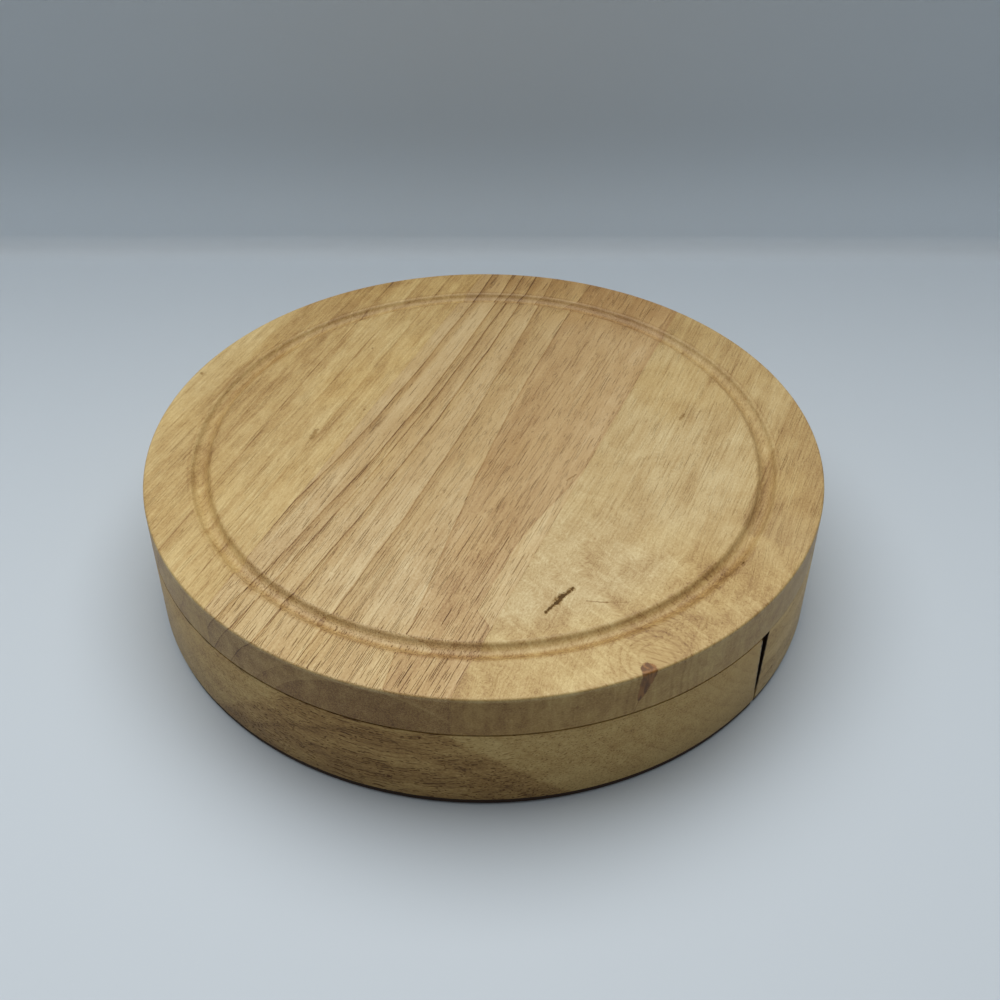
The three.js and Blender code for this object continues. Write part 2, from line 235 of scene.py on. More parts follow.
class Value:
    """A number that varies over a surface or a mesh. Sums with it add Math nodes."""

    def __init__(self, sheet: Sheet, socket: bpy.types.NodeSocket) -> None:
        """Keeps the socket that gives the number."""
        self.sheet = sheet
        self.socket = socket

    def _sum(self, operation: str, *operands: "Operand") -> "Value":
        """Adds a Math node.

        Args:
            operation: The Math node's operation.
            operands: Its values, in order.

        Returns:
            The node's result.
        """
        sockets = dict(enumerate(operands))
        return self.sheet.value(self.sheet.add("ShaderNodeMath", {"operation": operation}, sockets))

    def __add__(self, other: "Operand") -> "Value":
        """This plus other."""
        return self._sum("ADD", self, other)

    def __radd__(self, other: float) -> "Value":
        """Other plus this."""
        return self._sum("ADD", other, self)

    def __sub__(self, other: "Operand") -> "Value":
        """This less other."""
        return self._sum("SUBTRACT", self, other)

    def __rsub__(self, other: float) -> "Value":
        """Other less this."""
        return self._sum("SUBTRACT", other, self)

    def __mul__(self, other: "Operand") -> "Value":
        """This times other."""
        return self._sum("MULTIPLY", self, other)

    def __rmul__(self, other: float) -> "Value":
        """Other times this."""
        return self._sum("MULTIPLY", other, self)

    def __truediv__(self, other: "Operand") -> "Value":
        """This over other."""
        return self._sum("DIVIDE", self, other)

    def __rtruediv__(self, other: float) -> "Value":
        """Other over this."""
        return self._sum("DIVIDE", other, self)

    def __pow__(self, power: float) -> "Value":
        """This to a power."""
        return self._sum("POWER", self, power)

    def __mod__(self, other: "Operand") -> "Value":
        """What is left of this after whole counts of other."""
        return self._sum("FLOORED_MODULO", self, other)

    def floor(self) -> "Value":
        """The whole number below."""
        return self._sum("FLOOR", self)

    def fraction(self) -> "Value":
        """The part after the point."""
        return self._sum("FRACT", self)

    def sine(self) -> "Value":
        """Its sine."""
        return self._sum("SINE", self)

    def sign(self) -> "Value":
        """One with its sign."""
        return self._sum("SIGN", self)

    def root(self) -> "Value":
        """Its square root, of zero where it is less."""
        return self._sum("SQRT", self._sum("MAXIMUM", self, 0.0))

    def at_most(self, limit: "Operand") -> "Value":
        """The smaller of this and a limit."""
        return self._sum("MINIMUM", self, limit)

    def at_least(self, limit: "Operand") -> "Value":
        """The larger of this and a limit."""
        return self._sum("MAXIMUM", self, limit)

    def above(self, limit: "Operand") -> "Value":
        """One where this is over a limit, else nothing."""
        return self._sum("GREATER_THAN", self, limit)

    def rise(self, low: "Operand", high: "Operand") -> "Value":
        """Goes smoothly from 0 at low to 1 at high, and high may be the smaller of the two.

        Args:
            low: Where it starts.
            high: Where it ends.

        Returns:
            The share from 0 to 1.
        """
        settings = {"interpolation_type": "SMOOTHSTEP"}
        ends = {"Value": self, "From Min": low, "From Max": high}
        return self.sheet.value(self.sheet.add("ShaderNodeMapRange", settings, ends))


Operand = Value | float


def total(values: list[Value]) -> Value:
    """Adds up some values."""
    return sum(values[1:], values[0])


class Paint(Sheet):
    """The sheet of a material, with its shader."""

    def __init__(self, material: bpy.types.Material) -> None:
        """Opens the material's nodes.

        Args:
            material: The material.
        """
        material.use_nodes = True
        super().__init__(material.node_tree)
        self.shader = self.tree.nodes["Principled BSDF"]

    def set(self, name: str, value: object) -> None:
        """Feeds one input of the shader."""
        self.feed(self.shader.inputs[name], value)

    def dent(self, height: Value, depth: float) -> None:
        """Gives the shader the relief of a height field, which is as deep as this, in metres."""
        relief = {"Strength": 1.0, "Distance": depth, "Height": height}
        self.set("Normal", self.add("ShaderNodeBump", inputs=relief).outputs[0])

    def place(self, turn: float = 0.0, centre: Point = (0.0, 0.0)) -> "Place":
        """Gives the place on a piece, turned and centred.

        Args:
            turn: The heading of the first axis, in degrees from +X.
            centre: The place of the origin, in metres.

        Returns:
            The place.
        """
        there = self.add("ShaderNodeTexCoord").outputs["Object"]
        moved = self.add("ShaderNodeVectorMath", {"operation": "SUBTRACT"}, {0: there, 1: (*centre, 0.0)})
        turned = self.add(
            "ShaderNodeMapping",
            inputs={
                "Vector": moved.outputs[0],
                "Rotation": (0.0, 0.0, -math.radians(turn)),
                "Scale": (1 / MM, 1 / MM, 1 / MM),
            },
        )
        parts = self.add("ShaderNodeSeparateXYZ", inputs={0: turned.outputs[0]})
        return Place(self, self.value(parts, 0), self.value(parts, 1), self.value(parts, 2))


@dataclass(frozen=True)
class Place:
    """A place on a piece: millimetres along its first axis, across it and upwards. Fibres run along."""

    sheet: Sheet
    along: Value
    across: Value
    height: Value

    def noise(self, lengthwise: float, crosswise: float, detail: float = 2.0, twist: float = 0.0) -> Value:
        """Adds a noise, about 0.5 on average, that may be drawn out along the fibres.

        Args:
            lengthwise: Its cells to the millimetre along the fibres.
            crosswise: Its cells to the millimetre across them and upwards.
            detail: How many finer layers it has.
            twist: How far it is bent by itself.

        Returns:
            The noise.
        """
        across, height = self.across * crosswise, self.height * crosswise
        return self.sheet.noise(self.along * lengthwise, across, height, detail, twist)

    @cached_property
    def radius(self) -> Value:
        """The distance from the upright axis."""
        return (self.along * self.along + self.across * self.across).root()


@dataclass(frozen=True)
class Finish(ABC):
    """A surface finish: the record's slot and the parts of its shader that are the same all over."""

    slot: Slot
    name: str
    gloss: float = 0.5
    metal: float = 0.0

    @cached_property
    def material(self) -> bpy.types.Material:
        """The finish's material, made when it is first asked for.

        Returns:
            The material.
        """
        made = bpy.data.materials.new(self.name)
        paint = Paint(made)
        paint.set("Specular IOR Level", self.gloss)
        paint.set("Metallic", self.metal)
        self.dress(paint)
        return made

    @abstractmethod
    def dress(self, paint: Paint) -> None:
        """Gives the shader its colour, roughness and relief.

        Args:
            paint: The material's sheet.
        """


@dataclass(frozen=True)
class Wood(Finish):
    """Pale, pored wood with a satin oil finish. Sizes are millimetres."""

    heading: float = 0.0
    dark: Colour = tint(100, 66, 30)
    tan: Colour = tint(164, 130, 79)
    mid: Colour = tint(188, 158, 103)
    pale: Colour = tint(215, 192, 138)
    tan_at: float = 0.36
    mid_at: float = 0.6
    vessel_pitch: float = 0.46
    roughness: float = 0.42
    pore_roughness: float = 0.15
    relief: float = 0.00008

    def fibres(self, place: Place) -> Value:
        """Adds fibre streaks, broad and fine, with soft patches and a fine grit, about 0 on average.

        Args:
            place: The place in the wood.

        Returns:
            How much lighter the wood is there.
        """
        broad = place.noise(0.012, 0.28)
        fine = place.noise(0.06, 1.7)
        patch = place.noise(0.07, 0.16, 3.0)
        grit = place.noise(1.2, 2.8, 1.0)
        return broad * 0.4 + fine * 0.5 + patch * 0.36 + grit * 0.45 - 0.855

    def vessels(self, place: Place, crowd: Operand) -> Value:
        """Adds open pores: tubes along the fibres, which show as dashes on a long face and as dots on an end.

        Args:
            place: The place in the wood.
            crowd: How wide they are, from 0 to 1.

        Returns:
            One in a pore, else nothing.
        """
        across, height = place.across, place.height
        sway = place.noise(0.04, 0.3, 1.0) * 0.9
        lift = place.sheet.noise(place.along * 0.06, across * 0.6, height * 0.6 + 40.0, 1.0) * 1.3
        near = place.sheet.spots((across + sway) / self.vessel_pitch, (height + lift) / self.vessel_pitch)
        edge = crowd * 0.15 + 0.09
        return near.rise(edge, edge * 0.55)

    @staticmethod
    def glue(place: Place, lines: tuple[float, ...]) -> Value:
        """Gives one in the thin lines between staves, at these distances across."""
        gaps = [place.across - line for line in lines]
        return total([(gap * gap).rise(0.09, 0.01) for gap in gaps])

    def oiled(self, paint: Paint, tone: Value, pores: Value) -> bpy.types.NodeSocket:
        """Turns a tone into the wood's colour, and sets its roughness and relief.

        Args:
            paint: The material's sheet.
            tone: 0 in the darkest lines, 1 in the palest wood.
            pores: The mask of the pores.

        Returns:
            The colour.
        """
        stops = [(0.0, self.dark), (self.tan_at, self.tan), (self.mid_at, self.mid), (1.0, self.pale)]
        paint.set("Roughness", pores * self.pore_roughness + self.roughness)
        paint.dent(tone * 0.3 - pores, self.relief)
        return paint.add("ShaderNodeValToRGB", {"stops": stops}, {0: tone}).outputs[0]


@dataclass(frozen=True)
class GrowthLine:
    """The edge of a growth ring on the board's face: a thin dark line, and a shade that fades away from it.

    Its distance across the board is given 70 mm behind the middle, at the middle and 70 mm in front of it.
    Further in front it may hook back, as a ring does where it closes.
    """

    back: float
    middle: float
    front: float
    line: float
    shade: float
    fade: float
    hook: float = 0.0

    REACH = 70.0
    HOOK_REACH = 8.0
    LINE_DEPTH = 1.2

    def across(self, along: Value) -> Value:
        """Gives the line's distance across at a place along the board.

        Args:
            along: Place along the board.

        Returns:
            The distance across.
        """
        bow = ((self.back + self.front) / 2 - self.middle) / self.REACH**2
        lean = (self.back - self.front) / (2 * self.REACH)
        beyond = (along + self.REACH).at_most(0.0).at_least(-self.HOOK_REACH)
        return along * (along * bow + lean) + self.middle - beyond * beyond * self.hook

    def mask(self, ring: Value, along: Value) -> Value:
        """Gives how much darker the wood is at a ring's distance across.

        Args:
            ring: The distance across, on the face, of the ring through the place.
            along: Place along the board.

        Returns:
            The darkening.
        """
        past = ring - self.across(along)
        thin = past.rise(-0.25, 0.0) * past.rise(0.45, 0.1) * (self.line * self.LINE_DEPTH)
        return thin + past.rise(-0.15, 0.1) * past.rise(self.fade, 0.0) * self.shade


@dataclass(frozen=True)
class Flaw:
    """A dark crack or fleck in the board's face, from one point to another (across, along)."""

    start: Point
    end: Point
    half_width: float

    def mask(self, place: Place, ragged: Value) -> Value:
        """Gives one in the flaw, else nothing.

        Args:
            place: The place in the board.
            ragged: A noise about 0 that frays its edges.

        Returns:
            The mask.
        """
        run = Vector(self.end) - Vector(self.start)
        unit = run / run.length_squared
        x = place.across - self.start[0]
        y = place.along - self.start[1]
        share = (x * unit.x + y * unit.y).at_least(0.0).at_most(1.0)
        aside = x - share * run.x
        ahead = y - share * run.y
        away = (aside * aside + ahead * ahead).root() + ragged * self.half_width
        return away.rise(self.half_width * 1.3, self.half_width * 0.3)


@dataclass(frozen=True)
class BoardPlace(Place):
    """A place in the board, with what its wood does there. Each value is made when it is first asked for."""

    wood: "BoardWood"

    @cached_property
    def depth(self) -> Value:
        """The depth below the face."""
        return self.wood.face - self.height

    @cached_property
    def past(self) -> list[Value]:
        """One past each glue line, else nothing."""
        return [self.across.above(line) for line in self.wood.glue_lines]

    @cached_property
    def first(self) -> Value:
        """One in the first stave."""
        return 1.0 - self.past[0]

    @cached_property
    def second(self) -> Value:
        """One in the second stave, which has bold growth rings."""
        return self.past[0] - self.past[1]

    @cached_property
    def third(self) -> Value:
        """One in the third stave and beyond, where the eye and the knot are."""
        return self.past[1]

    @cached_property
    def fourth(self) -> Value:
        """One in the short stave at the side, which ends on a slant."""
        slant = self.along + (self.across - self.wood.glue_lines[2]) * 0.25
        return self.past[2] * slant.rise(-6.5, -4.5)

    @cached_property
    def curl(self) -> Value:
        """One in the curly figure, at the front of the third stave."""
        return self.third * self.along.rise(4.0, -36.0)

    @cached_property
    def wall(self) -> Value:
        """One on the board's wall."""
        return self.depth.rise(0.6, 1.4) * self.radius.rise(self.wood.rim - 1.0, self.wood.rim - 0.3)

    @cached_property
    def end_grain(self) -> Value:
        """How far a wall here cuts the fibres across."""
        return self.along * self.along / self.wood.rim**2

    @cached_property
    def cloud(self) -> Value:
        """A soft noise about 0."""
        return self.noise(0.055, 0.065, 4.0, 1.2) - 0.5

    @cached_property
    def wander(self) -> Value:
        """A slow noise about 0 that bends the growth rings."""
        return (self.noise(0.03, 0.06) - 0.5) * 1.6

    @cached_property
    def pith_square(self) -> Value:
        """The square of the distance from the second stave's pith, less that of the face above it."""
        aside, pith_depth = self.from_pith, self.wood.pith_depth
        return aside * aside + self.depth * (self.depth - 2 * pith_depth)

    @cached_property
    def from_pith(self) -> Value:
        """The distance across from the second stave's pith."""
        return self.across + self.wander * 0.5 - self.wood.pith_across

    @cached_property
    def heart(self) -> Value:
        """One in the heart of the second stave, which only the wall shows."""
        edge = self.wood.heart_radius**2 - self.wood.pith_depth**2
        return self.pith_square.rise(edge + 8.0, edge - 8.0) * self.wall * self.second

    @cached_property
    def ring(self) -> Value:
        """The second stave's ring through this place, as its distance across on the face."""
        return self.pith_square.root() * self.from_pith.sign() + self.wood.pith_across + self.wander * 0.5

    @cached_property
    def patchy(self) -> Value:
        """A noise that breaks up the growth lines."""
        return self.sheet.noise(self.along * 0.04, self.ring * 0.3, 3.0)

    @cached_property
    def bold(self) -> Value:
        """How dark the growth lines of the second stave are."""
        lines = total([line.mask(self.ring, self.along) for line in self.wood.bold_lines])
        return lines * self.second * (self.patchy * 0.8 + 0.6) * (1.0 - self.wall * 0.1)

    @cached_property
    def faint(self) -> Value:
        """The growth lines of the first stave, which slant as they go down.

        Returns:
            How much darker the wood is.
        """
        slanted = self.across + self.wander + self.depth * self.wood.side_slope
        lines = total([line.mask(slanted, self.along) for line in self.wood.side_lines])
        return lines * self.first * (self.patchy * 2.4 - 0.5).at_least(0.0)

    @cached_property
    def strip_edge(self) -> Value:
        """The distance past the edge of the pale strip beside the second glue line, widest near the front."""
        swell = self.along.rise(4.0, -38.0) * self.along.rise(-66.5, -60.5)
        return self.across + self.wander * 0.5 + swell * 5.6 - (self.wood.glue_lines[1] - 0.3)

    @cached_property
    def strip(self) -> Value:
        """One in the pale strip."""
        return self.strip_edge.rise(-0.1, 0.3) * self.second

    @cached_property
    def strip_line(self) -> Value:
        """One in the dark line along the pale strip."""
        return self.strip_edge.rise(-0.7, -0.2) * self.strip_edge.rise(0.3, -0.1) * self.second

    @cached_property
    def from_eye(self) -> tuple[Value, Value]:
        """The way to the eye beside the knot.

        Returns:
            The distance across, and the square of the whole distance.
        """
        x = self.across - self.wood.eye[0]
        y = self.along - self.wood.eye[1]
        return x, x * x + y * y

    @cached_property
    def bent(self) -> Place:
        """The place among the fibres, which bend round the eye and waver in the curly figure.

        Returns:
            The place, with its distance across bent as they are.
        """
        x, square = self.from_eye
        reach = self.wood.eye_radius**2
        across = self.across - self.third * x * (reach / (square + reach)) + self.cloud * self.curl * 6.0
        return Place(self.sheet, self.along, across, self.height)

    @cached_property
    def from_eye_rim(self) -> Value:
        """The distance past the ragged rim of the eye."""
        return self.from_eye[1].root() + self.cloud * 4.0 - self.wood.eye_radius

    @cached_property
    def eye(self) -> Value:
        """One in the eye."""
        return self.third * self.from_eye_rim.rise(1.5, -0.5)

    @cached_property
    def eye_rings(self) -> Value:
        """How dark the eye and the thin rings in it are."""
        gaps = [(self.from_eye_rim + inset) / 0.45 for inset in self.wood.eye_insets]
        return self.eye * (total([(gap * gap).rise(1.0, 0.0) for gap in gaps]) * 0.12 + 0.02)

    @cached_property
    def pores(self) -> Value:
        """The pores, which crowd along the growth lines and near the front.

        Returns:
            One in a pore, less where they are faint.
        """
        front_rim = self.along.rise(-58.0, -86.0)
        crowd = self.bold * 0.6 + (self.patchy - 0.5) * 0.9
        crowd = crowd + self.along.rise(20.0, -70.0) * 0.25 + front_rim * 0.3 + 0.3
        share = self.second * (front_rim * 0.25 + 0.4) + 0.6 - self.curl * 0.4
        return self.wood.vessels(self.bent, crowd.at_least(0.0).at_most(1.0)) * share

    @cached_property
    def figure(self) -> Value:
        """The curly figure: ripples, slanting flames, specks and a fine stipple.

        Returns:
            How much lighter the wood is.
        """
        slant = self.along * 0.5 + self.across * 0.25
        flames = self.sheet.noise(slant, self.across * 0.12, self.height * 0.1, 2.0, 0.8)
        flames = flames.rise(0.5, 0.66) - 0.3
        specks = self.sheet.spots(self.along / 0.9, (self.bent.across + self.height) / 0.62)
        specks = specks.rise(0.24, 0.1) * (1.0 - self.wall)
        ripple = self.bent.noise(0.42, 0.3) - 0.5
        stipple = self.bent.noise(1.6, 2.1) - 0.5
        return (ripple * 0.3 + flames * 0.12 + stipple * 0.6 - specks * 0.16) * self.curl

    @cached_property
    def margin(self) -> Value:
        """One round the rim and in the groove."""
        return self.radius.rise(64.0, 80.0)

    @cached_property
    def golden(self) -> Value:
        """One where the margin of the third stave is golden."""
        return self.margin * self.facing(self.wood.golden_heading) * self.third * (1.0 - self.fourth)

    @cached_property
    def stain(self) -> Value:
        """Painted shade in the groove, deepest on its outer half towards one heading, and painted shade round
        the rim at the back; also a thin darker line on the groove's outer lip and a darker tone where the
        margin is golden.

        Returns:
            How much darker the wood is.
        """
        inner, outer = self.wood.groove
        radius = self.radius
        in_groove = radius.rise(inner - 0.6, inner + 0.6) * radius.rise(outer + 0.5, outer - 0.5)
        # Painted shade: the groove's outer half is darker towards one heading and lighter away from it.
        outer_half = radius.rise(79.0, 80.0) * (self.facing(self.wood.groove_shade_heading) * 0.3 - 0.09)
        lip = (radius - outer - 0.3) / 0.45
        # Painted shade at the back of the rim and groove.
        back = self.margin * self.along.rise(30.0, 75.0)
        # Painted shade in the whole groove, plus the thin darker line on its outer lip.
        dark = in_groove * (outer_half + 0.11) + (lip * lip).rise(1.0, 0.0) * 0.09
        return dark + back * 0.09 + self.golden * 0.11

    @cached_property
    def drift(self) -> Value:
        """The slow change of tone over the face, from stave to stave and round the wall, with painted light
        towards the front and painted shade at the back edge.

        Returns:
            How much lighter the wood is.
        """
        along, across = self.along, self.across
        mottle = self.noise(0.22, 0.8) - 0.5
        soil = self.sheet.noise(along * 0.3, across * 0.3, self.height * 0.14, 4.0) - 0.5
        # Painted light and shade: the face is lighter towards the front and darker at its back edge.
        face = along.rise(-10.0, -70.0) * 0.06 - along.rise(79.0, 86.0) * 0.06
        first = self.first * (mottle * 0.4 - across.rise(-58.0, -70.0) * 0.09)
        third = self.third * (self.wall * (across.rise(40.0, 75.0) * 0.2 - 0.06) + 0.02)
        wall = self.wall * (soil * 0.4 - self.end_grain * 0.1)
        return face + across.rise(-82.0, -86.0) * 0.16 + first + third - self.fourth * 0.15 + wall

    @cached_property
    def knot(self) -> Value:
        """The brown knot at the rim, which leans and tapers as it goes down.

        Returns:
            One in the knot, else nothing.
        """
        across, along, depth = self.across, self.along, self.depth
        way = Vector(self.wood.knot).normalized()
        x = across - self.wood.knot[0]
        y = along - self.wood.knot[1]
        outwards = x * way.x + y * way.y
        sideways = y * way.x - x * way.y + depth * 0.3
        taper = (1.0 - depth / self.wood.knot_depth).at_least(0.001).root()
        half = taper * (outwards * 0.12 + 2.2).at_least(0.4)
        fray = (self.sheet.noise(across * 0.9, along * 0.9, depth * 0.5, 3.0) - 0.5) * 1.2
        spread = (sideways * sideways) / (half * half) + outwards * outwards / 9.0
        return (spread + fray).rise(1.15, 0.75)

    @cached_property
    def ragged(self) -> Value:
        """A noise about 0 that frays the flaws."""
        return self.sheet.noise(self.along * 1.2, self.across * 1.2, 0.0, 3.0) * 2.4 - 1.2

    def flawed(self, flaws: tuple[Flaw, ...]) -> Value:
        """Gives one in shallow flaws, and more where they overlap."""
        return total([flaw.mask(self, self.ragged) for flaw in flaws]) * self.depth.rise(4.0, 3.0)

    def facing(self, degrees: float) -> Value:
        """Gives one on the side of the board towards a heading, falling to nothing a quarter turn away.

        Args:
            degrees: The heading, from the right, anticlockwise.

        Returns:
            The mask.
        """
        turn = math.radians(degrees)
        share = self.across * math.cos(turn) + self.along * math.sin(turn)
        return (share / self.radius.at_least(1.0)).at_least(0.0) ** 2


@dataclass(frozen=True)
class BoardWood(Wood):
    """The board's wood: glued staves, one with bold growth rings and one with curly figure and a knot."""

    vessel_pitch: float = 0.34
    face: float = 38.9
    rim: float = 95.0
    glue_lines: tuple[float, float, float] = (-37.6, 29.9, 76.0)
    pith_across: float = 8.6
    pith_depth: float = 30.9
    heart_radius: float = 30.4
    bold_lines: tuple[GrowthLine, ...] = (
        GrowthLine(-33.8, -34.4, -40.5, 0.22, 0.22, 3.4),
        GrowthLine(-26.7, -25.7, -31.2, 0.2, 0.22, 4.4),
        GrowthLine(-23.6, -23.0, -26.8, 0.24, 0.13, 5.0),
        GrowthLine(-19.3, -17.6, -19.8, 0.26, 0.18, 4.0),
        GrowthLine(-12.8, -8.3, -7.6, 0.15, 0.16, 11.0),
        GrowthLine(-1.9, 2.0, 11.6, 0.14, 0.15, 44.0, 0.029),
    )
    side_lines: tuple[GrowthLine, ...] = (
        GrowthLine(-71.5, -71.0, -67.0, 0.1, 0.12, 5.0),
        GrowthLine(-63.4, -62.6, -60.0, 0.2, 0.12, 5.0),
        GrowthLine(-54.6, -54.4, -52.5, 0.12, 0.1, 4.0),
        GrowthLine(-46.8, -46.2, -45.6, 0.16, 0.1, 3.5),
    )
    side_slope: float = 0.45
    cracks: tuple[Flaw, ...] = (
        Flaw((43.3, -45.0), (41.7, -49.0), 0.65),
        Flaw((41.5, -48.4), (41.4, -51.3), 0.95),
        Flaw((41.3, -51.2), (40.0, -55.6), 0.45),
        Flaw((80.1, -18.8), (80.1, -19.3), 0.35),
    )
    flecks: tuple[Flaw, ...] = (
        Flaw((47.9, 36.4), (47.5, 33.6), 0.6),
        Flaw((48.0, -47.8), (52.8, -46.4), 0.25),
        Flaw((52.6, -46.4), (57.6, -44.2), 0.15),
        Flaw((28.5, -2.2), (27.0, -5.6), 0.3),
        Flaw((-47.4, -12.4), (-46.8, -16.4), 0.8),
        Flaw((-51.7, 32.0), (-51.6, 31.4), 0.4),
        Flaw((-39.2, 2.0), (-39.2, 1.5), 0.35),
        Flaw((-93.4, -0.8), (-92.8, -1.2), 0.5),
    )
    flaw_colour: Colour = tint(130, 94, 36)
    flaw_core: Colour = tint(70, 45, 10)
    knot: Point = (69.6, -64.0)
    knot_depth: float = 8.8
    knot_colour: Colour = tint(146, 96, 42)
    knot_core: Colour = tint(100, 60, 22)
    eye: Point = (69.5, -60.0)
    eye_radius: float = 11.5
    eye_insets: tuple[float, ...] = (0.0, 2.53, 4.37, 6.9)
    second_tint: Colour = (0.99, 1.0, 1.15, 1.0)
    third_tint: Colour = (0.98, 1.015, 1.13, 1.0)
    # Painted shade: a multiply that darkens and browns the whole wall of the board.
    wall_shade_tint: Colour = (0.83, 0.74, 0.575, 1.0)
    warm_tint: Colour = (1.0, 0.95, 0.8, 1.0)
    pink_tint: Colour = (1.0, 0.98, 1.01, 1.0)
    groove: tuple[float, float] = (76.4, 82.6)
    # The heading towards which the painted shade in the groove's outer half is deepest.
    groove_shade_heading: float = 300.0
    golden_heading: float = 328.0

    def tone(self, place: BoardPlace) -> Value:
        """Adds up what makes the wood lighter and darker.

        Args:
            place: The place in the board.

        Returns:
            The tone, 0 in the darkest lines and 1 in the palest wood.
        """
        calm = 0.3 - place.along.rise(0.0, -60.0) * 0.5
        return (
            self.fibres(place.bent) * (1.0 - place.curl * 0.35 - place.second * calm - place.eye * 0.3)
            + place.cloud * (place.curl * 0.32 + place.third * 0.24 + 0.26)
            + place.drift
            + place.figure
            + place.strip * 0.13
            - place.strip_line * 0.12
            - place.bold
            - place.faint
            - place.heart * 0.2
            - place.eye_rings
            - place.pores * 0.4
            - self.glue(place, self.glue_lines) * 0.07
            # Painted shade in the groove and at the back of the rim, and the darker golden margin.
            - place.stain
            + 0.67
        )

    def tinted(self, place: BoardPlace, colour: bpy.types.NodeSocket) -> bpy.types.NodeSocket:
        """Tints the staves, the patch past the last bold line, and what is warm.

        Args:
            place: The place in the board.
            colour: The wood's colour.

        Returns:
            The tinted colour.
        """
        plain = place.second * (1.0 - place.bold * 2.0 - place.pores * 0.6).at_least(0.0)
        past_last = (place.ring - self.bold_lines[-1].across(place.along)).rise(-0.2, 0.2)
        patches = place.sheet.noise(place.along * 0.03, place.across * 0.035, 7.0).rise(0.45, 0.75)
        worn = place.margin * place.end_grain + place.golden
        warm = (patches * 0.5 + worn * 0.7 + place.fourth * 0.3).at_most(1.0)
        tints = (
            (plain, self.second_tint),
            (place.third, self.third_tint),
            ((place.second - place.strip) * past_last, self.pink_tint),
            (warm, self.warm_tint),
        )
        for share, shade in tints:
            colour = place.sheet.mix(share, colour, shade, "MULTIPLY")
        return colour

    def dress(self, paint: Paint) -> None:
        """Gives the board its wood.

        Args:
            paint: The material's sheet.
        """
        plain = paint.place(self.heading)
        place = BoardPlace(paint, plain.along, plain.across * -1.0, plain.height, self)
        cracks = place.flawed(self.cracks)
        flecks = place.flawed(self.flecks)
        colour = self.oiled(paint, self.tone(place), place.pores + cracks.at_most(1.0) * 3.0)
        colour = self.tinted(place, colour)
        colour = paint.mix((cracks + flecks * 0.7).at_most(1.0) * 0.9, colour, self.flaw_colour)
        colour = paint.mix(cracks.rise(0.8, 1.05) * 0.85, colour, self.flaw_core)
        # Painted shade: the board's wall is darkened and browned all over.
        colour = paint.mix(place.wall, colour, self.wall_shade_tint, "MULTIPLY")
        streaks = paint.noise(place.across * 0.7, place.along * 0.7, place.depth * 0.25, 3.0, 0.6)
        brown = paint.mix(streaks.rise(0.4, 0.62), self.knot_core, self.knot_colour)
        paint.set("Base Color", paint.mix(place.knot * 0.92, colour, brown))


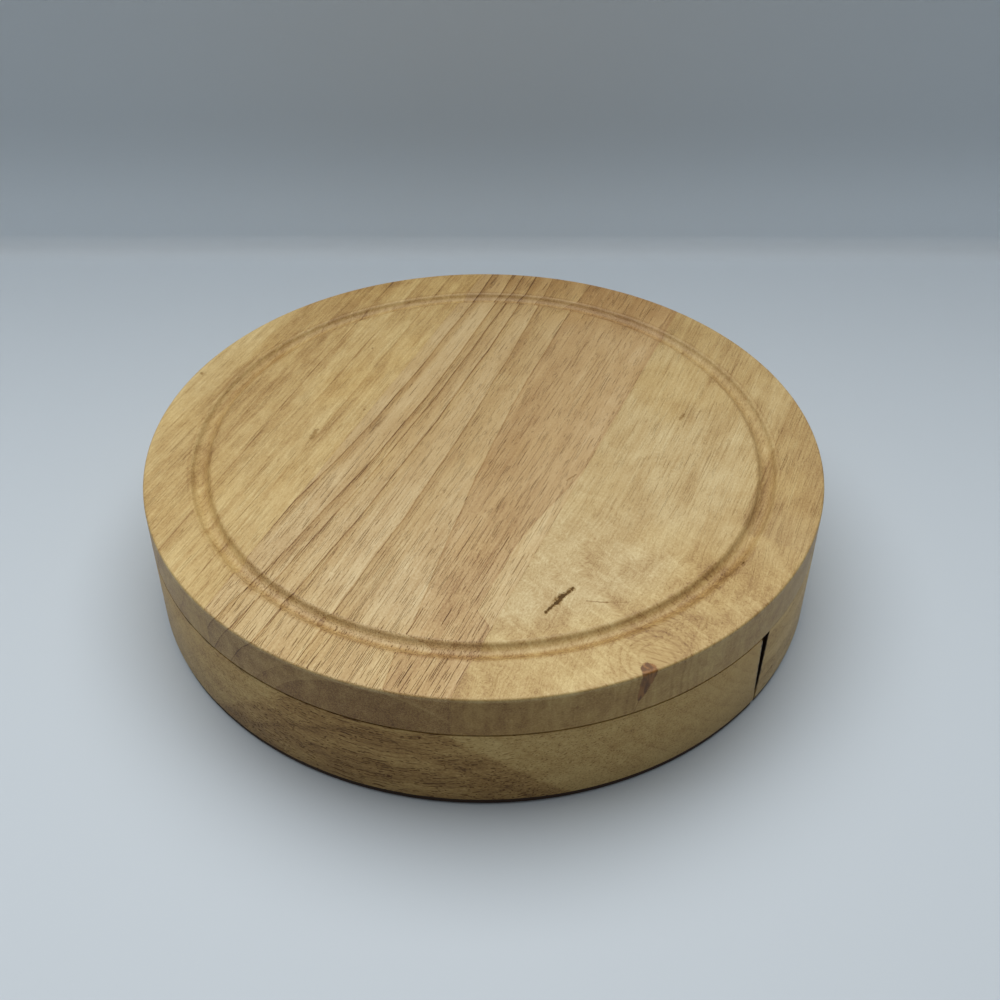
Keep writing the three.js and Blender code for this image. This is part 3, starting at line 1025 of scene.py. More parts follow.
@dataclass(frozen=True)
class BaseWood(Wood):
    """The base's wood: three glued staves, each with growth rings about its own pith."""

    tan: Colour = tint(163, 126, 72)
    mid: Colour = tint(188, 154, 94)
    pale: Colour = tint(214, 186, 124)
    vessel_pitch: float = 0.7
    glue_lines: tuple[float, float] = (-31.0, 33.0)
    piths: tuple[Point, Point, Point] = ((-11.0, 50.0), (4.0, -34.0), (58.0, 66.0))
    brown_from: float = 85.3
    brown_depth: float = 0.26
    inner_ring: float = 3.6
    ring_pitch: float = 3.7
    parting: float = 20.3
    parting_half: float = 0.3
    parting_lean: float = 0.038
    # Painted shade: the near-black colour of the split between tray and fixed base and of the seam under the
    # board, and where it deepens.
    split_shade_colour: Colour = tint(38, 23, 12)
    split_shade_from: float = 62.0
    rim: float = 95.0
    tray_top: float = 26.0

    def from_parting(self, place: Place) -> tuple[Value, Value]:
        """Gives the distances along the parting line and past it.

        Args:
            place: The place in the wood.

        Returns:
            The two distances.
        """
        turn = math.radians(self.heading)
        ahead = place.along * math.cos(turn) - place.across * math.sin(turn)
        return ahead, place.along * math.sin(turn) + place.across * math.cos(turn) - self.parting

    def split_and_seam_shade(self, place: Place) -> Value:
        """Gives the painted shade of the split on the parting faces, deepest near the rim, a ragged painted
        shadow of the split on the wall beside it, and painted shade of the seam along the top edge.

        Args:
            place: The place in the wood.

        Returns:
            The mask.
        """
        height, radius = place.height, place.radius
        ahead, aside = self.from_parting(place)
        # Painted shade on the parting faces, darkest near the rim.
        faces = (aside * aside).rise(4.4, 3.4) * radius.rise(self.rim - 0.1, self.rim - 0.5)
        faces = faces * (radius.rise(self.split_shade_from, self.rim - 3.0) * 0.6 + 0.25)
        # Painted shadow: a ragged dark fringe on the wall beside the top of the split.
        frayed = place.noise(0.9, 0.9, 4.0) - 0.5
        half = height * self.parting_lean + self.parting_half + frayed * 1.4
        fringe = ((aside * aside).root() - half).rise(0.4, 0.1) * ahead.above(0.0) * height.rise(3.0, 10.0)
        fringe = fringe * radius.rise(self.rim - 1.2, self.rim - 0.3)
        # Painted shade of the seam: a broken dark line along the top edge under the board; worn is its
        # height, broken by noise.
        broken = place.sheet.noise(place.along * 0.16, place.across * 0.16, 0.0, 4.0)
        worn = height + broken * 1.8 - 0.5
        edge = worn.rise(self.tray_top, self.tray_top + 0.35) * radius.rise(self.rim - 1.4, self.rim - 0.6)
        edge = edge * ahead.rise(70.0, -20.0)
        return (faces + fringe * 0.9 + edge * (broken * 1.4 - 0.15)).at_least(0.0).at_most(1.0)

    def pith_distance(self, place: Place, second: Value, third: Value) -> Value:
        """Gives the distance from the pith of the stave.

        Args:
            place: The place in the wood.
            second: One from the second stave on.
            third: One in the third stave.

        Returns:
            The distance, a little bent.
        """
        steps = [Vector(after) - Vector(before) for before, after in zip(self.piths, self.piths[1:])]
        aside = place.across - self.piths[0][0] - second * steps[0].x - third * steps[1].x
        up = place.height - self.piths[0][1] - second * steps[0].y - third * steps[1].y
        wander = (place.noise(0.03, 0.05) - 0.5) * 3.0
        return (aside * aside + up * up).root() + wander

    def dress(self, paint: Paint) -> None:
        """Gives the base its wood.

        Args:
            paint: The material's sheet.
        """
        place = paint.place(self.heading)
        along, height = place.along, place.height
        second, third = [place.across.above(line) for line in self.glue_lines]
        radius = self.pith_distance(place, second, third)
        brown = radius.rise(self.brown_from - 0.6, self.brown_from + 0.6) * (1.0 - second)
        wall = place.radius.rise(self.rim - 1.4, self.rim - 0.6)
        inside = (1.0 - wall) * height.rise(self.tray_top - 0.2, self.tray_top - 0.8)
        end_grain = wall * along * along / self.rim**2 + inside * 0.7
        phase = radius / self.ring_pitch + paint.noise(along * 0.01, radius * 0.08, 0.0) * 1.5
        rings = phase.fraction() ** 4.0 * (end_grain * 0.08 + 0.1) * (second * 0.4 + 0.6)
        inner = (radius - self.brown_from - self.inner_ring) / 0.5
        waver = (place.noise(0.25, 0.3) - 0.5) * 2.2
        crowd = (paint.noise(along * 0.05, radius * 0.3, 0.0) * 1.2 - 0.1 + brown * 0.3).at_least(0.0)
        wavy = replace(place, height=height + waver)
        pores = self.vessels(replace(wavy, across=place.across + waver), crowd.at_most(1.0))
        tone = (
            self.fibres(wavy) * (1.25 - end_grain * 0.75)
            - brown * self.brown_depth
            - (inner * inner).rise(1.0, 0.0) * (1.0 - second) * 0.08
            + second * 0.05
            - third * 0.1
            - wall * self.from_parting(place)[0].rise(35.0, 5.0) * 0.08
            - rings
            - self.glue(place, self.glue_lines) * 0.1
            - pores * (0.42 - end_grain * 0.24)
            + 0.66
        )
        colour = self.oiled(paint, tone, pores)
        # Painted shade of the split and of the seam.
        paint.set("Base Color", paint.mix(self.split_and_seam_shade(place), colour, self.split_shade_colour))


@dataclass(frozen=True)
class HandleWood(Wood):
    """The tools' handles: the same wood, straight-grained and turned."""

    def dress(self, paint: Paint) -> None:
        """Gives a handle its wood.

        Args:
            paint: The material's sheet.
        """
        place = paint.place(self.heading)
        pores = self.vessels(place, 0.4)
        bands = place.noise(0.01, 0.5) - 0.5
        tone = self.fibres(place) + bands * 0.5 - pores * 0.36 + 0.64
        paint.set("Base Color", self.oiled(paint, tone, pores))


@dataclass(frozen=True)
class Hardboard(Finish):
    """Dark pressed fibreboard with a smooth face."""

    dark: Colour = tint(42, 25, 14)
    light: Colour = tint(74, 48, 30)
    relief: float = 0.00008

    def dress(self, paint: Paint) -> None:
        """Gives a floor its hardboard.

        Args:
            paint: The material's sheet.
        """
        place = paint.place()
        fibres = paint.noise(place.along * 1.1, place.across * 1.1, place.height * 3.0, 4.0, 1.2)
        share = (fibres * 0.8 + place.noise(0.06, 0.06) * 0.5 - 0.2).at_least(0.0)
        paint.set("Base Color", paint.mix(share, self.dark, self.light))
        paint.set("Roughness", 0.48 + fibres * 0.25)
        paint.dent(fibres, self.relief)


class Lay(Enum):
    """Which way the fine marks of a worked metal run."""

    LENGTHWISE = "lengthwise"
    ROUND = "round"


@dataclass(frozen=True)
class Metal(Finish):
    """Brushed or turned metal."""

    colour: Colour = tint(198, 200, 203)
    shade: Colour = tint(170, 172, 176)
    roughness: float = 0.26
    lay: Lay = Lay.LENGTHWISE
    centre: Point = (0.0, 0.0)
    relief: float = 0.00003

    def dress(self, paint: Paint) -> None:
        """Gives a piece its metal.

        Args:
            paint: The material's sheet.
        """
        place = paint.place(0.0, self.centre)
        if self.lay is Lay.LENGTHWISE:
            marks = place.noise(0.08, 9.0, 3.0)
        else:
            marks = paint.noise(place.radius * 9.0, place.height * 9.0, 0.0, 3.0)
        smudge = place.noise(0.12, 0.12, 3.0)
        paint.set("Base Color", paint.mix(marks * 0.6 + smudge * 0.3, self.colour, self.shade))
        paint.set("Roughness", self.roughness - 0.08 + marks * 0.1 + smudge * 0.12)
        paint.dent(marks, self.relief)


@dataclass(frozen=True)
class Nylon(Finish):
    """Natural nylon, a little cloudy."""

    colour: Colour = tint(232, 229, 221)
    shade: Colour = tint(212, 206, 192)

    def dress(self, paint: Paint) -> None:
        """Gives a piece its nylon.

        Args:
            paint: The material's sheet.
        """
        cloud = paint.place().noise(0.5, 0.5, 3.0)
        paint.set("Base Color", paint.mix(cloud, self.colour, self.shade))
        paint.set("Roughness", 0.38 + cloud * 0.2)


@dataclass(frozen=True)
class SweepPaper:
    """The pale paper that the board stands on, seen from its front, with painted light that makes it palest
    at the foot of its wall.
    """

    colour: Colour = tint(196, 205, 212)
    # Painted light: the paler colour of the band at the foot of the wall, and where that band rises and
    # falls.
    foot_light_colour: Colour = tint(228, 237, 244)
    foot_light_from: tuple[float, float] = (0.001, 0.009)
    foot_light_to: tuple[float, float] = (0.06, 0.005)
    roughness: float = 0.6

    def material(self) -> bpy.types.Material:
        """Makes the paper.

        Returns:
            The material.
        """
        material = bpy.data.materials.new("sweep_paper")
        paint = Paint(material)
        paint.set("Roughness", self.roughness)
        place = paint.add("ShaderNodeTexCoord").outputs["Object"]
        height = paint.value(paint.add("ShaderNodeSeparateXYZ", inputs={0: place}), "Z")
        # Painted light: the paper is paler in a band at the foot of the wall.
        foot = height.rise(*self.foot_light_from) * height.rise(*self.foot_light_to)
        paint.set("Base Color", paint.mix(foot, self.colour, self.foot_light_colour))
        behind = paint.add("ShaderNodeNewGeometry").outputs["Backfacing"]
        clear = paint.add("ShaderNodeBsdfTransparent").outputs[0]
        sides = paint.add("ShaderNodeMixShader", inputs={0: behind, 1: paint.shader.outputs[0], 2: clear})
        paint.feed(paint.tree.nodes["Material Output"].inputs["Surface"], sides.outputs[0])
        return material


def arc(centre: Point, radius: float, start: float, end: float, steps: int) -> list[Point]:
    """Gives points on an arc, both ends included.

    Args:
        centre: The arc's centre.
        radius: Its radius.
        start: Its first angle, in radians.
        end: Its last angle.
        steps: How many chords it has.

    Returns:
        The points in order.
    """
    angles = [start + (end - start) * step / steps for step in range(steps + 1)]
    return [(centre[0] + radius * math.cos(a), centre[1] + radius * math.sin(a)) for a in angles]


def bezier(points: list[Point], steps: int) -> list[Point]:
    """Gives points on a Bezier curve, both ends included.

    Args:
        points: Its control points.
        steps: How many chords it has.

    Returns:
        The points in order.
    """
    last = len(points) - 1
    made = []
    for step in range(steps + 1):
        t = step / steps
        shares = [math.comb(last, k) * t**k * (1 - t) ** (last - k) for k in range(last + 1)]
        made.append(tuple(sum(s * p[axis] for s, p in zip(shares, points)) for axis in (0, 1)))
    return made


def softened(corners: list[tuple[float, float, float]], steps: int = 4) -> list[Point]:
    """Rounds the corners of a profile and holds the flats beside them.

    Args:
        corners: Triples of radius, height and how far the rounding reaches from that corner.
        steps: How many chords a rounding has.

    Returns:
        The profile's points in order.
    """
    made: list[Point] = []
    for index, (x, z, reach) in enumerate(corners):
        if reach <= 0 or index in (0, len(corners) - 1):
            made.append((x, z))
            continue
        here = Vector((x, z))
        sides = []
        for other in (corners[index - 1], corners[index + 1]):
            way = Vector(other[:2]) - here
            sides.append((way.normalized(), way.length))
        (back, back_room), (ahead, ahead_room) = sides
        hold, least_room = 1.6 * reach, 4 * reach
        if back_room > least_room:
            made.append(tuple(here + back * hold))
        made += bezier([tuple(here + back * reach), (x, z), tuple(here + ahead * reach)], steps)
        if ahead_room > least_room:
            made.append(tuple(here + ahead * hold))
    return made


def show(name: str, mesh: bpy.types.Mesh) -> bpy.types.Object:
    """Puts a mesh in the scene as a new object at the origin.

    Args:
        name: The object's name.
        mesh: The mesh.

    Returns:
        The object.
    """
    piece = bpy.data.objects.new(name, mesh)
    bpy.context.scene.collection.objects.link(piece)
    return piece


@contextmanager
def shaping(mesh: bpy.types.Mesh) -> Iterator[bmesh.types.BMesh]:
    """Opens a mesh for a change, and writes the change back.

    Args:
        mesh: The mesh.

    Yields:
        Its shape.
    """
    shape = bmesh.new()
    shape.from_mesh(mesh)
    yield shape
    shape.to_mesh(mesh)
    shape.free()


def prism(
    name: str, outline: list[Point], foot: float, head: float, axes: Matrix | None = None
) -> bpy.types.Object:
    """Makes a closed prism.

    Args:
        name: Its name.
        outline: Its plan, in order.
        foot: Where it starts along its third axis.
        head: Where it ends.
        axes: A turn that is applied to it.

    Returns:
        The object.
    """
    mesh = bpy.data.meshes.new(name)
    with shaping(mesh) as shape:
        rings = [[shape.verts.new((x, y, z)) for x, y in outline] for z in (foot, head)]
        for ring in rings:
            shape.faces.new(ring)
        for low in range(len(outline)):
            high = (low + 1) % len(outline)
            shape.faces.new((rings[0][low], rings[0][high], rings[1][high], rings[1][low]))
        shape.transform(axes or Matrix.Identity(4))
        bmesh.ops.recalc_face_normals(shape, faces=shape.faces)
    return show(name, mesh)


def settle(piece: bpy.types.Object) -> bpy.types.Object:
    """Turns a piece and its modifiers into one plain mesh.

    Args:
        piece: The piece.

    Returns:
        The same piece.
    """
    graph = bpy.context.evaluated_depsgraph_get()
    made = bpy.data.meshes.new_from_object(piece.evaluated_get(graph), depsgraph=graph)
    worn = piece.data
    piece.modifiers.clear()
    piece.data = made
    bpy.data.meshes.remove(worn)
    made.name = piece.name
    return piece


class Join(Enum):
    """The ways to join solids, by the Boolean modifier's own names."""

    CUT = "DIFFERENCE"
    MERGE = "UNION"


def combine(
    piece: bpy.types.Object, others: list[bpy.types.Object], join: Join = Join.CUT
) -> bpy.types.Object:
    """Cuts solids out of a piece or merges them with it, and removes them.

    Args:
        piece: The piece.
        others: The solids.
        join: The way to join them.

    Returns:
        The same piece.
    """
    for other in others:
        step = piece.modifiers.new(other.name, "BOOLEAN")
        step.operation = join.value
        step.solver = "EXACT"
        step.object = other
    settle(piece)
    for other in others:
        bpy.data.meshes.remove(other.data)
    return piece


def ease(
    piece: bpy.types.Object, width: float, share: Callable[[Vector], float] | None = None
) -> bpy.types.Object:
    """Eases the sharp edges of a piece with a narrow rounding.

    Args:
        piece: The piece.
        width: The width of the rounding.
        share: A function from an edge's middle to the share of the width that it gets.

    Returns:
        The same piece.
    """
    with shaping(piece.data) as shape:
        bmesh.ops.dissolve_limit(
            shape, angle_limit=FLAT_ANGLE, verts=shape.verts, edges=shape.edges, delimit={"NORMAL"}
        )
        weight = shape.edges.layers.float.new("bevel_weight_edge")
        for edge in shape.edges:
            if len(edge.link_faces) == 2 and edge.calc_face_angle() > SHARP_ANGLE:
                middle = (edge.verts[0].co + edge.verts[1].co) / 2
                edge[weight] = share(middle) if share else 1.0
    bevel = piece.modifiers.new("eased_edges", "BEVEL")
    bevel.limit_method = "WEIGHT"
    bevel.width = width
    bevel.segments = EASE_SEGMENTS
    return settle(piece)


class Lathe:
    """A node tree that turns a profile round the upright axis, plain or with straight flutes."""

    WELD = 0.002 * MM

    def __init__(self) -> None:
        """Builds the tree, with its inputs."""
        self.tree = bpy.data.node_groups.new("turned_piece", "GeometryNodeTree")
        face = self.tree.interface
        self.inputs = {
            name: face.new_socket(name, in_out="INPUT", socket_type=f"NodeSocket{kind}").identifier
            for name, kind in {
                "Profile": "Geometry",
                "Segments": "Int",
                "Flutes": "Int",
                "Flute Depth": "Float",
                "Weld": "Float",
                "Material": "Material",
            }.items()
        }
        face.new_socket("Piece", in_out="OUTPUT", socket_type="NodeSocketGeometry")
        self._fill(Sheet(self.tree))

    def _fill(self, sheet: Sheet) -> None:
        """Adds the nodes: a grid of rings by profile points, each point turned to its ring.

        Args:
            sheet: The tree's sheet.
        """
        given = sheet.add("NodeGroupInput").outputs
        segments = Value(sheet, given["Segments"])
        sizes = sheet.add("GeometryNodeAttributeDomainSize", {"component": "MESH"}, {0: given["Profile"]})
        count = sheet.value(sizes, "Point Count")
        grid = sheet.add("GeometryNodeMeshGrid", inputs={"Vertices X": segments + 1.0, "Vertices Y": count})
        index = sheet.value(sheet.add("GeometryNodeInputIndex"))
        angle = (index / count).floor() / segments * FULL_TURN
        row = index % count
        place = sheet.add("GeometryNodeInputPosition").outputs[0]
        fluted = sheet.add("GeometryNodeInputNamedAttribute", {"data_type": "FLOAT"}, {"Name": "fluted"})
        point = sheet.add(
            "GeometryNodeSampleIndex",
            {"data_type": "FLOAT_VECTOR", "domain": "POINT"},
            {"Geometry": given["Profile"], "Value": place, "Index": row},
        )
        flute = sheet.add(
            "GeometryNodeSampleIndex",
            {"data_type": "FLOAT", "domain": "POINT"},
            {"Geometry": given["Profile"], "Value": fluted.outputs["Attribute"], "Index": row},
        )
        wave = (angle * Value(sheet, given["Flutes"])).sine() * Value(sheet, given["Flute Depth"])
        parts = sheet.add("ShaderNodeSeparateXYZ", inputs={0: point.outputs[0]})
        radius = sheet.value(parts, 0) + wave * sheet.value(flute)
        upright = sheet.add("ShaderNodeCombineXYZ", inputs={0: radius, 2: parts.outputs[2]})
        turned = sheet.add(
            "ShaderNodeVectorRotate",
            {"rotation_type": "Z_AXIS"},
            {"Vector": upright.outputs[0], "Angle": angle},
        )
        made = grid
        for kind, settings in (
            ("GeometryNodeSetPosition", {"Position": turned.outputs[0]}),
            ("GeometryNodeMergeByDistance", {"Distance": given["Weld"]}),
            ("GeometryNodeRealizeInstances", {}),
            ("GeometryNodeSetMaterial", {"Material": given["Material"]}),
            ("NodeGroupOutput", {}),
        ):
            made = sheet.add(kind, inputs={0: made.outputs[0], **settings})

    def turn(
        self,
        name: str,
        profile: list[Point],
        material: bpy.types.Material,
        segments: int = 64,
        flutes: tuple[int, float, float] | None = None,
        closed: bool = False,
    ) -> bpy.types.Object:
        """Turns one piece about the upright axis.

        Args:
            name: The piece's name.
            profile: Its profile, pairs of radius and height.
            material: Its material.
            segments: How many facets it has round.
            flutes: Their count, their depth and the radius past which the profile has them.
            closed: Whether the profile's end meets its start.

        Returns:
            The piece.
        """
        points = profile + profile[:1] if closed else profile
        mesh = bpy.data.meshes.new(name)
        edges = [(i, i + 1) for i in range(len(points) - 1)]
        mesh.from_pydata([(r, 0.0, z) for r, z in points], edges, [])
        marks = mesh.attributes.new("fluted", "FLOAT", "POINT")
        count, deep, past = flutes or (0, 0.0, math.inf)
        marks.data.foreach_set("value", [float(r > past) for r, z in points])
        piece = show(name, mesh)
        turning = piece.modifiers.new("turning", "NODES")
        turning.node_group = self.tree
        settings = {
            "Segments": segments,
            "Flutes": count,
            "Flute Depth": deep,
            "Weld": self.WELD,
            "Material": material,
        }
        for socket, value in settings.items():
            turning[self.inputs[socket]] = value
        settle(piece)
        with shaping(piece.data) as shape:
            bmesh.ops.recalc_face_normals(shape, faces=shape.faces)
        return piece


def hand_over(piece: bpy.types.Object, node: str, body: Body, finish: Finish, crease: float) -> None:
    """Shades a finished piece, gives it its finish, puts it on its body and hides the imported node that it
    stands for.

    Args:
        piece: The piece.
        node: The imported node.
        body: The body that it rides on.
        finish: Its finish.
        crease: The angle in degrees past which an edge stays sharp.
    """
    piece.data.shade_smooth()
    piece.data.set_sharp_from_angle(angle=math.radians(crease))
    piece.data.materials.clear()
    piece.data.materials.append(finish.material)
    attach(piece, body.value)
    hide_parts(node)
    LOG.info("%s: %d faces, on %s", piece.name, len(piece.data.polygons), body.value)


@dataclass
class Round:
    """The round plan that board and base share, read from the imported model."""

    radius: float = field(init=False)
    board_foot: float = field(init=False)
    board_top: float = field(init=False)
    tray_top: float = field(init=False)
    panel_top: float = field(init=False)
    pivot: Point = field(init=False)
    parting: float = 20 * MM
    parting_gap: float = 0.6 * MM
    knuckle: float = 24 * MM
    rim_band: float = 0.5 * MM
    saw_lean: float = 0.9 * MM
    saw_flare: float = 0.7 * MM
    saw_flare_drop: float = 1.6 * MM
    saw_bend: Point = (0.2, 0.4)
    saw_steps: int = 4
    rim_steps: int = 240
    knuckle_steps: int = 36
    bore_steps: int = 48

    def __post_init__(self) -> None:
        """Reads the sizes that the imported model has."""
        low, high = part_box("top_board")
        self.radius = high.x
        self.board_foot = low.z
        self.board_top = high.z
        self.tray_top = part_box("tray_body")[1].z
        self.panel_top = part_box("tray_panel")[1].z
        swivel = next(joint for joint in frame["joints"] if joint["name"] == "tray_swivel")
        self.pivot = (swivel["pos_m"][0], swivel["pos_m"][1])

    def knuckle_at_rim(self, circle: float, rim: float) -> tuple[float, float]:
        """Finds where a circle round the pivot crosses a rim, on the fixed base's side.

        Args:
            circle: The circle's radius.
            rim: The rim's radius.

        Returns:
            The angle at the pivot and the angle at the centre.
        """
        x, y = self.pivot
        reach = math.hypot(x, y)
        cosine = (rim**2 - reach**2 - circle**2) / (2 * reach * circle)
        at_pivot = math.atan2(y, x) - math.acos(cosine)
        there = (x + circle * math.cos(at_pivot), y + circle * math.sin(at_pivot))
        return at_pivot % FULL_TURN, math.atan2(there[1], there[0]) % FULL_TURN

    def parting_edge(self, side: Side) -> float:
        """Gives how far a part's straight parting face is from the middle, at its foot."""
        return self.parting + (self.parting_gap if side is Side.FIXED else 0.0)

    def outline(self, side: Side, inset: float = 0.0) -> list[Point]:
        """Gives the plan of one part of the base.

        Args:
            side: The part.
            inset: How far its plan is drawn in.

        Returns:
            Its points in order.
        """
        rim = self.radius - inset
        edge = self.parting_edge(side) + side.value * inset
        knuckle = self.knuckle + edge - self.parting
        at_pivot, at_centre = self.knuckle_at_rim(knuckle, rim)
        far_end = at_centre if side is Side.FIXED else at_centre - FULL_TURN
        outer = arc((0.0, 0.0), rim, math.asin(edge / rim), far_end, self.rim_steps)
        return outer + arc(self.pivot, knuckle, at_pivot, QUARTER_TURN, self.knuckle_steps)[1:]

    def near_rim(self, middle: Vector) -> bool:
        """Tells whether an edge with this middle runs at the rim."""
        return math.hypot(middle.x, middle.y) > self.radius - self.rim_band

    def bore(self, name: str, radius: float, foot: float, head: float) -> bpy.types.Object:
        """Makes a round cutter on the pivot's axis."""
        plan = arc(self.pivot, radius, 0.0, FULL_TURN, self.bore_steps)[:-1]
        return prism(name, plan, foot, head)

    def parting_cutter(self, side: Side, head: float) -> bpy.types.Object:
        """Makes the wedge that the saw takes off a parting face.

        Args:
            side: The part of the base.
            head: The height of the part's top.

        Returns:
            The cutter.
        """
        edge, sign = self.parting_edge(side), side.value
        lean, flare, drop = self.saw_lean, self.saw_flare, self.saw_flare_drop
        sweep = [
            (edge + sign * lean, head - drop),
            (edge + sign * (lean + flare * self.saw_bend[0]), head - drop * self.saw_bend[1]),
            (edge + sign * (lean + flare), head),
        ]
        section = [
            (edge, self.panel_top),
            *bezier(sweep, self.saw_steps),
            (sweep[-1][0], head + OVERCUT),
            (edge - sign * OVERCUT, head + OVERCUT),
            (edge - sign * OVERCUT, self.panel_top),
        ]
        start = self.pivot[0] - (self.knuckle if side is Side.TRAY else 0.0)
        along_x = Matrix(((0, 0, 1, 0), (1, 0, 0, 0), (0, 1, 0, 0), (0, 0, 0, 1)))
        return prism("parting_cut", section, start, self.radius + OVERCUT, along_x)


@dataclass
class TopBoard:
    """The round board with its juice groove."""

    plan: Round
    rim_ease: float = 0.7 * MM
    foot_ease: float = 0.18 * MM
    groove_margin: float = 12.2 * MM
    groove_width: float = 6.6 * MM
    groove_depth: float = 1.7 * MM
    lip_radius: float = 1.4 * MM
    flat_hold: float = 0.3 * MM
    insert_bore: float = 4.65 * MM
    insert_hole_depth: float = 6.7 * MM
    flange_seat: float = 6.15 * MM
    flange_depth: float = 1 * MM
    rim_steps: int = 360
    lip_steps: int = 8
    cove_steps: int = 20
    crease: float = 30.0

    def profile(self) -> list[Point]:
        """Gives the profile from the middle of the underside to the middle of the face.

        Returns:
            Its points in order.
        """
        rim, foot, top = self.plan.radius, self.plan.board_foot, self.plan.board_top
        half = self.groove_width / 2
        middle = rim - self.groove_margin - half
        slope = 2 * math.atan(self.groove_depth / half)
        cove = half / math.sin(slope) - self.lip_radius
        lip_z = top - self.lip_radius
        lip, quarter = self.lip_radius, QUARTER_TURN
        outer = arc((middle + half, lip_z), lip, quarter, quarter + slope, self.lip_steps)
        cove_middle = (middle, top - self.groove_depth + cove)
        bottom = arc(cove_middle, cove, slope - quarter, -slope - quarter, self.cove_steps)
        inner = arc((middle - half, lip_z), lip, quarter - slope, quarter, self.lip_steps)
        corners = [(0.0, foot, 0.0), (rim, foot, self.foot_ease), (rim, top, self.rim_ease)]
        edge = softened([*corners, (middle + half + self.flat_hold, top, 0.0)])
        flat = [(middle - half - self.flat_hold, top), (0.0, top)]
        return edge + outer + bottom[1:] + inner[1:] + flat

    def build(self, lathe: Lathe, wood: BoardWood) -> None:
        """Turns the board, bores it for the pivot's insert and hands it over.

        Args:
            lathe: The lathe.
            wood: The board's wood.
        """
        piece = lathe.turn("round_board", self.profile(), wood.material, self.rim_steps)
        foot = self.plan.board_foot
        past = foot - OVERCUT
        holes = [
            self.plan.bore("insert_hole", self.insert_bore, past, foot + self.insert_hole_depth),
            self.plan.bore("flange_seat", self.flange_seat, past, foot + self.flange_depth),
        ]
        combine(piece, holes)
        hand_over(piece, "top_board", Body.BOARD, wood, self.crease)


@dataclass
class BasePart:
    """What the two parts of the base share: their plan and how their floors are made."""

    plan: Round
    panel_inset: float = 0.4 * MM
    panel_ease: float = 0.2 * MM
    crease: float = 25.0

    def add_floor(self, floor: bpy.types.Object, node: str, body: Body, hardboard: Hardboard) -> None:
        """Eases the edges of a floor and hands it over."""
        ease(floor, self.panel_ease)
        hand_over(floor, node, body, hardboard, self.crease)


@dataclass
class FixedBase(BasePart):
    """The part of the base that is glued under the board, and its floor."""

    edge_ease: float = 0.4 * MM
    glue_ease: float = 0.1 * MM

    def _edge_share(self, middle: Vector) -> float:
        """Gives the share of the ease that an edge gets: little where the base meets the board."""
        level = abs(middle.z - self.plan.board_foot) < TOUCHING
        return self.glue_ease / self.edge_ease if level and self.plan.near_rim(middle) else 1.0

    def build(self, wood: BaseWood, hardboard: Hardboard) -> None:
        """Makes the base and its floor and hands them over.

        Args:
            wood: The base's wood.
            hardboard: The floor's finish.
        """
        plan = self.plan
        base = prism("glued_base", plan.outline(Side.FIXED), plan.panel_top, plan.board_foot)
        combine(base, [plan.parting_cutter(Side.FIXED, plan.board_foot)])
        ease(base, self.edge_ease, self._edge_share)
        hand_over(base, "fixed_base", Body.BOARD, wood, self.crease)
        floor = prism("glued_base_floor", plan.outline(Side.FIXED, self.panel_inset), 0.0, plan.panel_top)
        self.add_floor(floor, "fixed_base_panel", Body.BOARD, hardboard)


